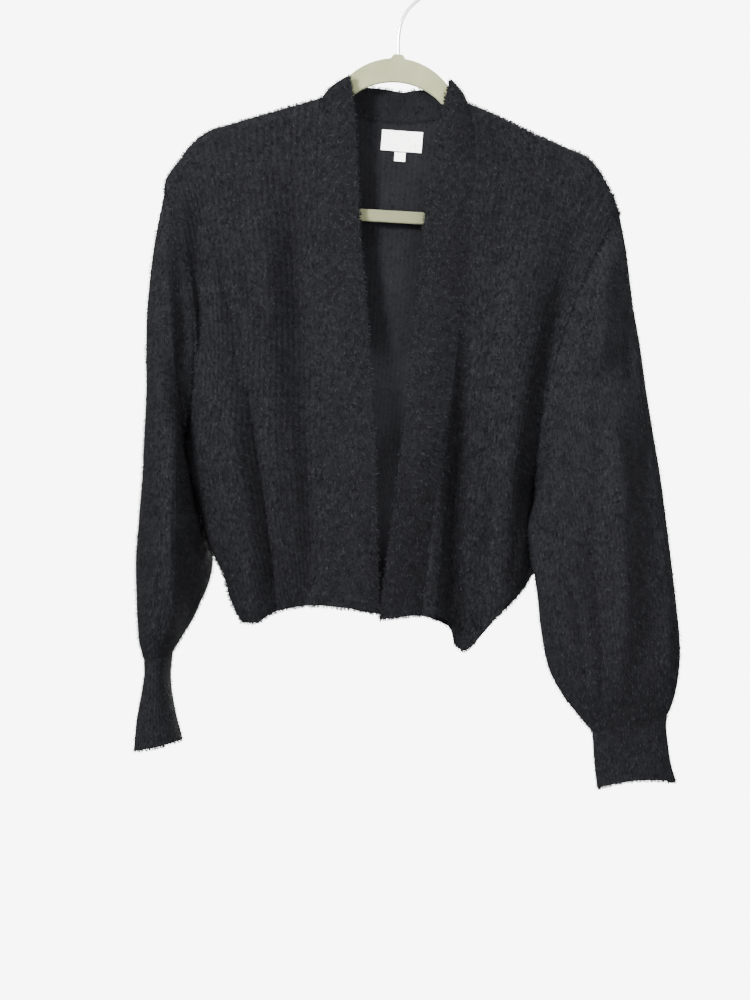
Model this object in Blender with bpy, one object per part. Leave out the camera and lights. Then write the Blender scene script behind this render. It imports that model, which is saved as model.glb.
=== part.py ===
"""Open-front rib-knit cardigan hanging on a flocked hanger, as separate cut pieces.

Metres, Z up. X points right as seen from the front, the viewer is at -Y. "Left" and "right"
in names are the viewer's. The origin is the inner top of the hanger's hook, where a rail
would hold it. Tables are in millimetres, in the hanger's plane, and scaled by MM where read.
"""

import math

import bmesh
import bpy
import numpy as np
from mathutils.bvhtree import BVHTree

MM = 0.001

# Knitted cloth
WALL = 2.4 * MM  # between the inner face and the grooves of the ribs
RIB_HEIGHT = 1.0 * MM  # of a rib above the grooves beside it
BAND_WALL = 3.4 * MM  # the front band is knitted double
SEAM_GAP = 0.3 * MM  # between two pieces at a seam
ARMHOLE_GAP = 1.2 * MM
BAND_GAP = 0.6 * MM
CUFF_GAP = 0.4 * MM

# Raised ribs of each piece: two columns of points make one
RIBS_FRONT = 13
RIBS_NECK = 14  # the back's ribs between the two shoulder seams
RIBS_SLEEVE = 32
RIBS_CUFF = 30
BAND_COLUMNS = 6
NECK_STATIONS = 6  # of each half of the collar, shoulder seam to centre back

SIDE_ROUNDING = 30 * MM  # how far in from a side edge a panel reaches its full depth
SIDE_SLANT = 0.25  # share of the way up an edge that counts towards that distance
FOLD_STOP = 0.97  # share of a panel's height above which it has no folds
SAMPLES = 240  # points read along a smooth curve before it is divided evenly
UNDERARM_TURN = 0.5  # how far the cloth turns down the armhole at the underarm point

# Rows of a body panel, as a share of its height. The underarm is at UNDERARM_ROW.
BODY_ROWS = (
    *(0, 0.07, 0.14, 0.21, 0.28, 0.34),
    *(0.42, 0.50, 0.58, 0.66, 0.74, 0.82, 0.90, 0.955, 0.982, 0.995, 1),
)
UNDERARM_ROW = 5

# Distance of the front and back panels from the hanger's plane, by share of their height
DEPTHS = (
    # share, front, back
    (0.00, 24.0, 22.0),
    (0.25, 25.0, 22.0),
    (0.50, 19.0, 18.0),
    (0.75, 12.5, 13.0),
    (0.90, 9.0, 9.0),
    (0.955, 7.8, 7.8),
    (0.982, 6.8, 6.8),
    (0.995, 4.6, 4.6),
    (1.00, 0.0, 0.0),
)

# Side seams, hem corner to underarm
SIDE_LEFT = (
    # x, y, z
    (-162, -11, -660),
    (-171, -12, -644),
    (-184, -12, -609),
    (-194, -12, -589),
    (-207, -12, -539),
    (-213, -11, -520),
    (-217.5, -8, -505),
    (-221, 0, -491),
)
SIDE_RIGHT = (
    # x, y, z
    (143, 15, -595),
    (139, 15, -572),
    (134, 12, -550),
    (130, 7, -537),
    (127, 0, -523),
)

# Shoulder seams, armhole to neck
SHOULDER_LEFT = (
    # x, z
    (-240, -229),
    (-239, -220),
    (-234, -211),
    (-226, -201),
    (-216, -190),
    (-199, -175),
    (-171, -165),
    (-129, -152),
    (-83, -138),
)
SHOULDER_RIGHT = (
    # x, z
    (212, -252),
    (207, -238),
    (200, -224),
    (191, -210),
    (179, -199),
    (161, -191),
    (126, -175),
    (88, -156),
    (60, -143),
)

# Seam between each front and its band, neck to hem
BAND_SEAM_LEFT = (
    # x, z
    (-83, -138),
    (-86, -152),
    (-88, -179),
    (-88, -229),
    (-86, -290),
    (-84, -439),
    (-83, -539),
    (-83, -644),
)
BAND_SEAM_RIGHT = (
    # x, z
    (60, -143),
    (64, -156),
    (68, -189),
    (66, -229),
    (61, -289),
    (56, -339),
    (50, -389),
    (44, -439),
    (35, -489),
    (27, -539),
    (20, -599),
    (14.5, -652),
)

# Hems, side seam to band
HEM_LEFT = (
    # x, z
    (-162, -660),
    (-146, -659),
    (-135, -652),
    (-123, -648),
    (-106, -645),
    (-83, -644),
)
HEM_RIGHT = (
    # x, z
    (143, -595),
    (129, -608),
    (117, -625),
    (103, -642),
    (93, -653),
    (82, -666),
    (74, -677),
    (66, -685),
    (59, -689),
    (52, -684),
    (45, -670),
    (38, -658),
    (28, -654),
    (14.5, -652),
)
HEM_BACK = (
    # x, z, left side seam to right side seam
    (-162, -660),
    (-123, -645),
    (-83, -641),
    (-25, -654),
    (14, -655),
    (40, -664),
    (60, -678),
    (82, -660),
    (117, -621),
    (143, -595),
)

# Back neck edge, where the collar is sewn on
NECK = (
    # x, y, z
    (-83, 0, -138),
    (-75, 8, -144),
    (-60, 13, -151),
    (-36, 17, -157),
    (-11, 19, -160),
    (14, 18, -159.5),
    (38, 13, -155),
    (53, 8, -149),
    (60, 0, -143),
)
NECK_REACH = 0.30  # share of the back's height over which it comes in from its neck edge

# Free edge of the band: for each height of its seam, where the edge lies, and how far it
# stands in front of the seam
EDGE_LEFT = (
    # seam z, edge x, edge z, lift
    (-138, -68, -123, 0),
    (-142, -59, -118.5, 3),
    (-152, -55.5, -122, 3.5),
    (-172, -52, -150, 3),
    (-205, -49, -200, 3),
    (-269, -46, -269, 3),
    (-379, -37, -379, 4),
    (-489, -31, -489, 5),
    (-589, -28.5, -590, 5),
    (-644, -26.5, -650, 5),
)
EDGE_RIGHT = (
    # seam z, edge x, edge z, lift
    (-143, 48, -126, 0),
    (-147, 44.5, -121.5, 3),
    (-157, 42, -128, 3.5),
    (-177, 36, -153, 3),
    (-205, 28, -200, 3),
    (-254, 19, -254, 3),
    (-339, 11, -339, 5),
    (-419, 3.5, -419, 8),
    (-476, -4, -476, 10),
    (-557, -14, -557, 11),
    (-652, -26.5, -656, 11),
)
# The collar's free edge round the back of the neck
EDGE_NECK_LEFT = (
    # x, y, z
    (-68, 0, -123),
    (-60, 8, -123.5),
    (-44, 12, -124),
    (-22, 15, -125.5),
    (-3.0, 16, -128.8),
)
EDGE_NECK_RIGHT = (
    # x, y, z
    (48, 0, -126),
    (41, 8, -126),
    (30, 12, -126),
    (13, 15, -126.5),
    (-3.0, 16, -128.8),
)
COLLAR_ROLL = 3.5 * MM  # how far the collar bows outwards between seam and edge

# Large folds of the fronts and of the back. height is outwards, negative in a trough.
FRONT_FOLDS = (
    # top x, top z, middle x, middle z, bottom x, bottom z, half width, height
    (-208, -245, -166, -429, -124, -700, 15, -9),
    (-136, -300, -134, -480, -112, -700, 15, 4),
    (-101, -330, -99, -500, -98, -700, 14, -7),
    (50, -330, 43, -519, 30, -700, 14, -11),
    (96, -300, 80, -500, 60, -740, 20, 9),
    (160, -250, 139, -419, 122, -640, 19, -10),
)
BACK_FOLDS = (
    # top x, top z, middle x, middle z, bottom x, bottom z, half width, height
    (-190, -250, -158, -450, -130, -700, 18, -9),
    (-118, -270, -108, -480, -94, -700, 20, 6),
    (-56, -300, -50, -500, -44, -700, 18, -8),
    (6, -290, 6, -500, 8, -700, 20, 6),
    (64, -280, 50, -500, 40, -740, 17, -8),
    (104, -300, 86, -500, 66, -740, 20, 7),
    (154, -250, 134, -430, 118, -650, 19, -8),
)
FOLD_FADE = 170 * MM  # length over which a fold dies out at its top

# Sleeves: each row is one ring, armhole to cuff. out and in are its ends towards and away
# from the shoulder tip as seen from the front; y_* are its depths at out, front, in, back.
# front at is the share of the way from out to in where it is deepest, and bow is how far
# its middle curves towards the body.
TUCK = 2.0  # how far the cloth tucks in beside the body, 0 for a round side
TUCK_ROWS = 4  # rings over which it starts to do so
SLEEVE_LEFT = (
    # out x, out z, in x, in z, y_out, y_front, y_in, y_back, front at, bow
    (-240, -229, -221, -491, 0, -12, 0, 12, 0.45, 19),
    (-249, -284, -226, -502, 0, -19, 3, 19, 0.44, 5),
    (-255, -339, -222, -518, 0, -27, 7, 28, 0.43, 3),
    (-257, -384, -215, -532, 0, -35, 10, 36, 0.42, 2),
    (-258, -429, -208.5, -546, 2, -42, 11, 44, 0.43, 2),
    (-260, -474, -205, -558, 3, -48, 12, 51, 0.44, 1),
    (-262, -517, -201, -571, 4, -52, 13, 57, 0.46, 0),
    (-265, -554, -198, -586, 4, -54, 13, 60, 0.48, 0),
    (-268, -592, -196, -604, 4, -54, 13, 60, 0.50, 0),
    (-268, -629, -202, -628, 4, -51, 12, 57, 0.52, 0),
    (-267, -657, -214, -652, 3, -46, 9, 51, 0.54, 0),
    (-265, -679, -226, -675, 2, -40, 4, 43, 0.54, 0),
    (-260, -699, -235, -690, 1, -32, 1, 33, 0.52, 0),
)
SLEEVE_RIGHT = (
    # out x, out z, in x, in z, y_out, y_front, y_in, y_back, front at, bow
    (212, -252, 127, -523, 0, -12, 0, 12, 0.45, 17),
    (215, -286, 129, -535, -3, -21, -4, 13, 0.46, 11),
    (220, -316, 127.5, -545, -5, -29, -9, 12, 0.48, 8),
    (225, -348, 124.5, -555, -8, -36, -14, 9, 0.50, 6),
    (231, -385, 122, -567, -11, -40, -19, 6, 0.50, 5),
    (237, -425, 123, -581, -14, -45, -23, 3, 0.50, 3),
    (244, -468, 127, -596, -17, -49, -26, 0, 0.50, 1),
    (252, -518, 131, -615, -20, -52, -28, 0, 0.50, 0),
    (259, -575, 134, -638, -22, -54, -29, 0, 0.50, 0),
    (266, -635, 137, -667, -24, -54, -30, 0, 0.50, 0),
    (271, -685, 144, -701, -25, -51, -30, -2, 0.50, 0),
    (269, -717, 154, -727, -26, -46, -29, -8, 0.50, 0),
    (264, -739, 168, -747, -26, -40, -28, -14, 0.50, 0),
    (258, -751, 186, -767, -26, -35, -27, -18, 0.50, 0),
)
# Cuffs, in the same columns, from the sleeve to the open end
CUFF_LEFT = (
    (-260, -699, -235, -690, 1, -32, 1, 33, 0.52, 0),
    (-260.5, -719, -237, -719, 1, -29, 1, 31, 0.50, 0),
    (-266, -758, -232, -751, 0, -27, 0, 29, 0.50, 0),
    (-268.5, -789, -225, -778, 0, -26, 0, 28, 0.50, 0),
)
CUFF_RIGHT = (
    (258, -751, 186, -767, -26, -35, -27, -18, 0.50, 0),
    (257, -764, 188, -776, -26, -34, -26, -18, 0.50, 0),
    (261, -796, 190, -804, -25, -33, -25, -17, 0.50, 0),
    (267, -820, 193, -825, -24, -33, -24, -16, 0.50, 0),
)

# Neck label and size tab, on the inside of the back
LABEL_AT = (-4.0, -178.0)  # centre, x and z in millimetres
LABEL_SIZE = (41.0, 21.0)
TAB_AT = (-6.0, -194.0)
TAB_SIZE = (11.0, 9.0)
LABEL_TILT = math.radians(-4.5)
LABEL_THICKNESS = 0.8 * MM
LABEL_CLEARANCE = 0.5 * MM

# Hanger, in its own upright frame: x from its middle, drop below the top of its arch
HANGER_TOP_AT = (-8.0, -97.5)  # x and z in millimetres of the top of the arch
HANGER_TILT = math.radians(-3.4)
HANGER_THICKNESS = 5.0 * MM
HANGER_EDGE = 1.0 * MM
ARCH_RADIUS = 66.0
ARCH_HEIGHT = 24.0
ARCH_HALF_WIDTH = 57.0
ARCH_POINTS = 8
ARCH_UNDER = 6  # of them along its lower edge
ARM_BEND = (64.0, 46.5)  # x and drop between the arch and the straight arm
ARM_START = (77.0, 52.5)
ARM_SLOPE = math.tan(math.radians(21.0))
ARM_END = 184.0
ARM_HEIGHT = 12.5
ARM_UNDER_END = (174.0, 2.0)  # x of the arm's lower end, and its rise above the arm's own slope
TIP_OUTLINE = ((197.0, 102.0), (206.0, 114.0), (211.0, 127.0), (212.0, 152.0))
TIP_INNER = ((199.0, 152.0), (198.0, 131.0), (192.0, 117.0))
BAR_TOP = 152.3
BAR_HEIGHT = 12.0
BAR_HALF_LENGTH = 210.0
BAR_CORNER = (6.0, 4.0)  # x and drop of the cut at its lower corners
FERRULE_WIDTH = 9.0  # at its top, where the wire goes in
FERRULE_HEIGHT = 5.0

# Hook: a wire with its crown's inner side at the origin
WIRE_RADIUS = 1.65 * MM
HOOK_RADIUS = 23.5 * MM  # of the wire's centre line
HOOK_FROM, HOOK_TO = math.radians(-15), math.radians(200)
HOOK_POINTS = 15
STEM_POINTS = 8
STEM = (
    # x, z of the wire's centre line, ferrule to crook
    (-7.6, -91.6),
    (-7.2, -74.0),
    (-3.6, -58.5),
    (5.5, -45.0),
    (15.5, -36.5),
)


def spline(keys, values, at):
    """Cubic through the rows of values at keys, read at the places in at."""
    keys, values = np.asarray(keys, float), np.asarray(values, float)
    slopes = np.gradient(values, keys, axis=0)
    at = np.clip(np.atleast_1d(np.asarray(at, float)), keys[0], keys[-1])
    i = np.clip(np.searchsorted(keys, at) - 1, 0, len(keys) - 2)
    span = (keys[i + 1] - keys[i])[:, None]
    t = (at - keys[i])[:, None] / span
    return (
        (2 * t**3 - 3 * t**2 + 1) * values[i]
        + (t**3 - 2 * t**2 + t) * span * slopes[i]
        + (3 * t**2 - 2 * t**3) * values[i + 1]
        + (t**3 - t**2) * span * slopes[i + 1]
    )


def lengths(points):
    """Share of a polyline's length at each of its points."""
    steps = np.linalg.norm(np.diff(points, axis=0), axis=1)
    total = np.concatenate([[0], np.cumsum(steps)])
    return total / total[-1]


def along(table, shares):
    """Points at shares of the length of a smooth curve through the rows of a table."""
    points = np.asarray(table, float) * MM
    fine = spline(lengths(points), points, np.linspace(0, 1, SAMPLES))
    share = lengths(fine)
    return np.stack([np.interp(shares, share, column) for column in fine.T], axis=-1)


def unit(vectors):
    return vectors / np.maximum(np.linalg.norm(vectors, axis=-1, keepdims=True), 1e-12)


def ring_point(row, share, back, tuck=0.0):
    """Points of a sleeve ring at shares of its front or back half, out end to in end."""
    out_x, out_z, in_x, in_z, y_out, y_front, y_in, y_back, front_at, bow = row
    depth = y_back if back else y_front
    angle = share * math.pi
    first = angle < math.pi / 2
    reach = front_at * (1 - np.cos(angle))
    beyond = front_at - (1 - front_at) * np.cos(angle)
    s = np.where(first, reach, beyond)
    y = np.where(first, y_out, y_in)
    y = y + (depth - y) * np.sin(angle) ** np.where(first, 1, 1 + tuck)
    span_x, span_z = in_x - out_x, in_z - out_z
    bow = math.copysign(bow, -out_x) * 4 * s * (1 - s) / math.hypot(span_x, span_z)
    x = out_x + span_x * s - span_z * bow
    z = out_z + span_z * s + span_x * bow
    return np.stack([x, y, z], axis=-1) * MM


def half_ring(row, shares, back, tuck=0.0):
    """Points at shares of the length of one half of a ring."""
    fine = ring_point(row, np.linspace(0, 1, SAMPLES), back, tuck)
    share = lengths(fine)
    return np.stack([np.interp(shares, share, column) for column in fine.T], axis=-1)


def folds_at(folds, x, z):
    """Sum of the folds' heights at points of the hanger's plane."""
    total = np.zeros_like(x)
    for top_x, top_z, mid_x, mid_z, end_x, end_z, half_width, height in folds:
        keys = np.array([end_z, mid_z, top_z]) * MM
        path = spline(keys, np.array([[end_x], [mid_x], [top_x]]) * MM, z.ravel())
        away = (x - path.reshape(x.shape)) / (half_width * MM)
        fade = np.clip((top_z * MM - z) / FOLD_FADE, 0, 1)
        total += height * MM * np.exp(-(away**2)) * fade * fade * (3 - 2 * fade)
    return total


def patch(left, right, bottom, top):
    """Coons patch in (x, z): left and right run up the rows, bottom and top along them."""
    rows, columns = len(left), len(bottom)
    v = np.asarray(BODY_ROWS, float)[:, None, None]
    u = lengths(bottom)[None, :, None] * (1 - v) + lengths(top)[None, :, None] * v
    across = (1 - u) * left[:, None] + u * right[:, None]
    up = (1 - v) * bottom[None] + v * top[None]
    corners = (1 - v) * ((1 - u) * bottom[0] + u * bottom[-1])
    corners = corners + v * ((1 - u) * top[0] + u * top[-1])
    return (across + up - corners).reshape(rows, columns, 2)


def side_edge(side, ring, back):
    """A body panel's outer edge, hem to shoulder, as (x, y, z) rows: side seam, armhole."""
    rows = np.asarray(BODY_ROWS)
    underarm = rows[UNDERARM_ROW]
    seam = along(side, rows[: UNDERARM_ROW + 1] / underarm)
    shares = (1 - rows[UNDERARM_ROW + 1 :]) / (1 - underarm)
    return np.concatenate([seam, half_ring(ring, shares, back)])


def depth_of_rows(column):
    table = np.asarray(DEPTHS, float)
    return np.interp(BODY_ROWS, table[:, 0], table[:, column]) * MM


def from_edge(x, z, column):
    """Distance of a panel's points from the side edge in one of its columns."""
    return np.abs(x - x[:, [column]]) + SIDE_SLANT * np.abs(z - z[:, [column]])


def rounding(distance):
    """0 at a side edge to 1 at full depth, along a quarter circle."""
    reach = np.clip(distance / SIDE_ROUNDING, 0, 1)
    return np.sqrt(1 - (1 - reach) ** 2)


def front_panel(side, ring, seam, hem, shoulder, columns):
    """Middle surface of a front, rows from hem to shoulder, columns from side to band."""
    shares = np.linspace(0, 1, columns)
    rows = np.asarray(BODY_ROWS)
    edge = side_edge(side, ring, back=False)
    band = along(seam, 1 - rows)
    flat = patch(edge[:, [0, 2]], band, along(hem, shares), along(shoulder, shares))
    x, z = flat[..., 0], flat[..., 1]
    out = depth_of_rows(1)[:, None]
    out = out + folds_at(FRONT_FOLDS, x, z) * (rows < FOLD_STOP)[:, None]
    y = edge[:, 1:2] + (-out - edge[:, 1:2]) * rounding(from_edge(x, z, 0))
    y[-1] = 0
    return np.stack([x, y, z], axis=-1)


def back_panel():
    """Middle surface of the back, rows from hem to shoulders and neck, left to right."""
    rows = np.asarray(BODY_ROWS)
    side, neck = 2 * RIBS_FRONT, 2 * RIBS_NECK
    left = side_edge(SIDE_LEFT, SLEEVE_LEFT[0], back=True)
    right = side_edge(SIDE_RIGHT, SLEEVE_RIGHT[0], back=True)
    shares = np.linspace(0, 1, side + 1)
    neck_edge = along(NECK, np.linspace(0, 1, neck + 1))
    top = np.concatenate(
        [
            along(SHOULDER_LEFT, shares)[:-1],
            neck_edge[:, [0, 2]],
            along(SHOULDER_RIGHT, shares)[::-1][1:],
        ]
    )
    bottom = along(HEM_BACK, lengths(top))
    flat = patch(left[:, [0, 2]], right[:, [0, 2]], bottom, top)
    x, z = flat[..., 0], flat[..., 1]
    plain = depth_of_rows(2)[:, None]
    out = plain + folds_at(BACK_FOLDS, x, z) * (rows < FOLD_STOP)[:, None]
    near = np.clip((rows - (1 - NECK_REACH)) / NECK_REACH, 0, 1)[:, None] ** 2
    neck_y = np.zeros(x.shape[1])
    neck_y[side : side + neck + 1] = neck_edge[:, 1]
    out = out + np.maximum(neck_y[None] - plain, 0) * near
    from_left, from_right = from_edge(x, z, 0), from_edge(x, z, -1)
    y = left[:, 1:2] + (out - left[:, 1:2]) * rounding(from_left)
    right_y = right[:, 1:2] + (out - right[:, 1:2]) * rounding(from_right)
    y = np.where(from_right < from_left, right_y, y)
    y[-1] = neck_y
    return np.stack([x, y, z], axis=-1)


def normals_of(points, closed=False):
    """Unit normals of a grid of points, before any is shared at a seam."""
    if closed:
        around = np.roll(points, -1, axis=1) - np.roll(points, 1, axis=1)
    else:
        around = np.gradient(points, axis=1)
    return unit(np.cross(around, np.gradient(points, axis=0)))


def share_normals(first, second):
    """Gives two edges that are sewn together one normal at each point."""
    mean = unit(first + second)
    first[...] = mean
    second[...] = mean


def turn_at_armhole(edge, normals):
    """Squares a panel's normals along its armhole to the opening's axis, as the sleeve's are.
    edge and normals run from hem to shoulder."""
    down = unit(edge[UNDERARM_ROW] - edge[-1])
    axis = unit(np.cross(down, (0, 1, 0)))
    hole = normals[UNDERARM_ROW + 1 : -1]
    hole[...] = unit(hole - (hole @ axis)[:, None] * axis)
    normals[UNDERARM_ROW] = unit(normals[UNDERARM_ROW] + UNDERARM_TURN * down)


def pull_back(edge, normals, inner, gap):
    """Moves an edge into its own piece, square to the seam and along the cloth."""
    tangent = unit(np.gradient(edge, axis=0))
    aside = unit(np.cross(tangent, normals))
    towards = np.sign(np.sum(aside * (inner - edge), axis=-1, keepdims=True))
    return edge + aside * towards * gap / 2


def material(name, colour, roughness, metallic=0.0, sheen=0.0):
    made = bpy.data.materials.new(name)
    made.use_nodes = True
    shader = made.node_tree.nodes["Principled BSDF"]
    shader.inputs["Base Color"].default_value = (*colour, 1)
    shader.inputs["Roughness"].default_value = roughness
    shader.inputs["Metallic"].default_value = metallic
    shader.inputs["Sheen Weight"].default_value = sheen
    return made


def add_object(name, mesh, look):
    mesh.materials.append(look)
    made = bpy.data.objects.new(name, mesh)
    bpy.context.scene.collection.objects.link(made)
    return made


def wall_mesh(name, outer, inner, closed):
    """Closed wall between an outer grid and an inner one that has half its columns."""
    rows, columns = outer.shape[:2]
    inner_columns = inner.shape[1]
    built = bmesh.new()
    out = [[built.verts.new(point) for point in row] for row in outer]
    ins = [[built.verts.new(point) for point in row] for row in inner]
    if closed:
        out = [row + row[:1] for row in out]
        ins = [row + row[:1] for row in ins]
    else:
        columns -= 1
        inner_columns -= 1
    for low, high in zip(out, out[1:]):
        for j in range(columns):
            built.faces.new((low[j], low[j + 1], high[j + 1], high[j]))
    for low, high in zip(ins, ins[1:]):
        for j in range(inner_columns):
            built.faces.new((low[j], high[j], high[j + 1], low[j + 1]))
    for i in (0, rows - 1):
        for j in range(inner_columns):
            first, ridge, last = out[i][2 * j : 2 * j + 3]
            near, far = ins[i][j], ins[i][j + 1]
            built.faces.new((near, first, ridge))
            built.faces.new((near, ridge, far))
            built.faces.new((far, ridge, last))
    if not closed:
        for i in range(rows - 1):
            for j, k in ((0, 0), (columns, inner_columns)):
                built.faces.new((out[i][j], out[i + 1][j], ins[i + 1][k], ins[i][k]))
    bmesh.ops.recalc_face_normals(built, faces=built.faces)
    mesh = bpy.data.meshes.new(name)
    built.to_mesh(mesh)
    built.free()
    mesh.shade_smooth()
    mesh.set_sharp_from_angle(angle=math.radians(50))
    return mesh


def add_cloth(name, points, normals, look, wall=WALL, rib=RIB_HEIGHT, closed=False):
    """One knitted piece: a wall round its middle surface, ribs raised on the outside."""
    relief = np.zeros(points.shape[1])
    relief[1::2] = rib
    outer = points + normals * (wall / 2 + relief)[None, :, None]
    inner = (points - normals * wall / 2)[:, ::2]
    return add_object(name, wall_mesh(name, outer, inner, closed), look)


def sleeve(table, front_edge, back_edge, columns, tucked_back):
    """Middle surface and normals of a sleeve. Its first ring lies on the panels' edges,
    given as (points, normals) from shoulder to underarm."""
    half = columns // 2
    shares = np.linspace(0, 1, half + 1)
    rings = []
    for i, row in enumerate(table[1:], 1):
        tuck = TUCK * min(1, i / TUCK_ROWS) * (1 - i / (len(table) - 1))
        front = half_ring(row, shares, False, 0 if tucked_back else tuck)
        back = half_ring(row, shares, True, tuck if tucked_back else 0)
        rings.append(np.concatenate([front[:-1], back[:0:-1]]))
    first = []
    for edge in (front_edge, back_edge):
        share = lengths(edge[0])
        both = np.concatenate(edge, axis=1)
        first.append(np.stack([np.interp(shares, share, c) for c in both.T], axis=-1))
    joined = np.concatenate([first[0][:-1], first[1][:0:-1]])
    points = np.stack([joined[:, :3], *rings])
    normals = normals_of(points, closed=True)
    normals[0] = unit(joined[:, 3:])
    return points, normals


def outward(points, normals):
    """Turns a tube's normals away from its axis."""
    away = points - points.mean(axis=1, keepdims=True)
    return normals if (away * normals).sum() > 0 else -normals


def flat_rim(points, normals, row, gap, inner_row):
    """Puts a tube's end ring square to its own plane and draws it back by half the gap."""
    ring = points[row]
    centre = ring.mean(axis=0)
    axis = np.linalg.svd(ring - centre)[2][2]
    normals[row] = unit(normals[row] - (normals[row] @ axis)[:, None] * axis)
    if (points[inner_row].mean(axis=0) - centre) @ axis < 0:
        axis = -axis
    points[row] = ring + axis * gap / 2


def body_panels():
    """Middle surfaces of the two fronts and their normals, then those of the back."""
    columns = 2 * RIBS_FRONT + 1
    fronts = (
        front_panel(
            SIDE_LEFT, SLEEVE_LEFT[0], BAND_SEAM_LEFT, HEM_LEFT, SHOULDER_LEFT, columns
        ),
        front_panel(
            SIDE_RIGHT, SLEEVE_RIGHT[0], BAND_SEAM_RIGHT, HEM_RIGHT, SHOULDER_RIGHT, columns
        ),
    )
    back = back_panel()
    normals = [normals_of(fronts[0]), -normals_of(fronts[1])]
    back_normals = -normals_of(back)
    share_normals(normals[0][-1], back_normals[-1, :columns])
    share_normals(normals[1][-1], back_normals[-1, ::-1][:columns])
    seam = slice(0, UNDERARM_ROW + 1)
    for front, own, column in zip(fronts, normals, (0, -1)):
        share_normals(own[seam, 0], back_normals[seam, column])
        turn_at_armhole(front[:, 0], own[:, 0])
        turn_at_armhole(back[:, column], back_normals[:, column])
    return fronts, normals, back, back_normals


def sew_body(fronts, normals, back, back_normals, look):
    """Draws the body pieces back from their seams and adds them."""
    columns = fronts[0].shape[1]
    top = slice(UNDERARM_ROW, None)
    side = slice(0, UNDERARM_ROW + 1)
    sewn_back = back.copy()
    for k, (name, edge_column) in enumerate((("front_left", 0), ("front_right", -1))):
        front, normal = fronts[k].copy(), normals[k]
        pulled = pull_back(fronts[k][side, 0], normal[side, 0], fronts[k][side, 1], SEAM_GAP)
        front[side, 0] += pulled - fronts[k][side, 0]
        inner = back[side, 1 if edge_column == 0 else -2]
        edge = back[side, edge_column]
        pulled = pull_back(edge, normal[side, 0], inner, SEAM_GAP)
        sewn_back[side, edge_column] += pulled - edge
        pulled = pull_back(fronts[k][top, 0], normal[top, 0], fronts[k][top, 1], ARMHOLE_GAP)
        front[top, 0] += pulled - fronts[k][top, 0]
        inner = back[top, 1 if edge_column == 0 else -2]
        edge = back[top, edge_column]
        pulled = pull_back(edge, back_normals[top, edge_column], inner, ARMHOLE_GAP)
        sewn_back[top, edge_column] += pulled - edge
        front[-1, :, 1] -= SEAM_GAP / 2
        front[:, -1] = pull_back(
            front[:, -1], normal[:, -1], fronts[k][:, -2], BAND_GAP
        )
        add_cloth(name, front, normal, look)
    sewn_back[-1, :columns, 1] += SEAM_GAP / 2
    sewn_back[-1, -columns:, 1] += SEAM_GAP / 2
    neck = slice(columns - 1, len(back[-1]) - columns + 1)
    sewn_back[-1, neck] = pull_back(
        sewn_back[-1, neck], back_normals[-1, neck], back[-2, neck], BAND_GAP
    )
    add_cloth("back", sewn_back, back_normals, look)


def band(seam, seam_normals, edge_table, neck_seam, neck_normals, neck_edge, outwards):
    """Middle surface and normals of one half of the band, hem to centre back."""
    table = np.asarray(edge_table, float)[::-1] * MM
    read = spline(table[:, 0], table[:, 1:], seam[:, 2])
    front_edge = np.stack([read[:, 0], seam[:, 1] - read[:, 2], read[:, 1]], axis=-1)
    back_edge = along(neck_edge, np.linspace(0, 1, len(neck_seam)))
    seams = np.concatenate([seam, neck_seam[1:]])
    edges = np.concatenate([front_edge, back_edge[1:]])
    shares = np.linspace(0, 1, BAND_COLUMNS + 1)[None, :, None]
    points = seams[:, None] * (1 - shares) + edges[:, None] * shares
    normals = normals_of(points) * outwards
    points = points + normals * np.sin(shares * math.pi) * COLLAR_ROLL
    normals = normals_of(points) * outwards
    normals[:, 0] = np.concatenate([seam_normals, neck_normals[1:]])
    return points, normals


def add_bands(fronts, normals, back, back_normals, look):
    """The two halves of the front band, joined at the centre back of the collar."""
    columns = fronts[0].shape[1]
    last = back.shape[1] - 1
    middle = columns - 1 + RIBS_NECK
    steps = np.linspace(0, 1, NECK_STATIONS + 1)
    sides = (
        ("band_left", 0, EDGE_LEFT, EDGE_NECK_LEFT, columns - 1, 1),
        ("band_right", 1, EDGE_RIGHT, EDGE_NECK_RIGHT, last - columns + 1, -1),
    )
    for name, k, edge_table, neck_edge, start, outwards in sides:
        seam, seam_normals = fronts[k][:, -1], normals[k][:, -1]
        at = start + (middle - start) * steps
        both = np.concatenate([back[-1], back_normals[-1]], axis=1)
        read = np.stack([np.interp(at, np.arange(last + 1), c) for c in both.T], axis=-1)
        points, own = band(
            seam, seam_normals, edge_table, read[:, :3], unit(read[:, 3:]), neck_edge, outwards
        )
        own[len(seam) - 1, 0] = unit(seam_normals[-1] + read[0, 3:])
        points[:, 0] = pull_back(points[:, 0], own[:, 0], points[:, 1], BAND_GAP)
        points[-1, :, 0] += -SEAM_GAP / 2 if k == 0 else SEAM_GAP / 2
        own[-1, :, 0] = 0
        own = unit(own)
        add_cloth(name, points, own, look, wall=BAND_WALL, rib=0)


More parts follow.
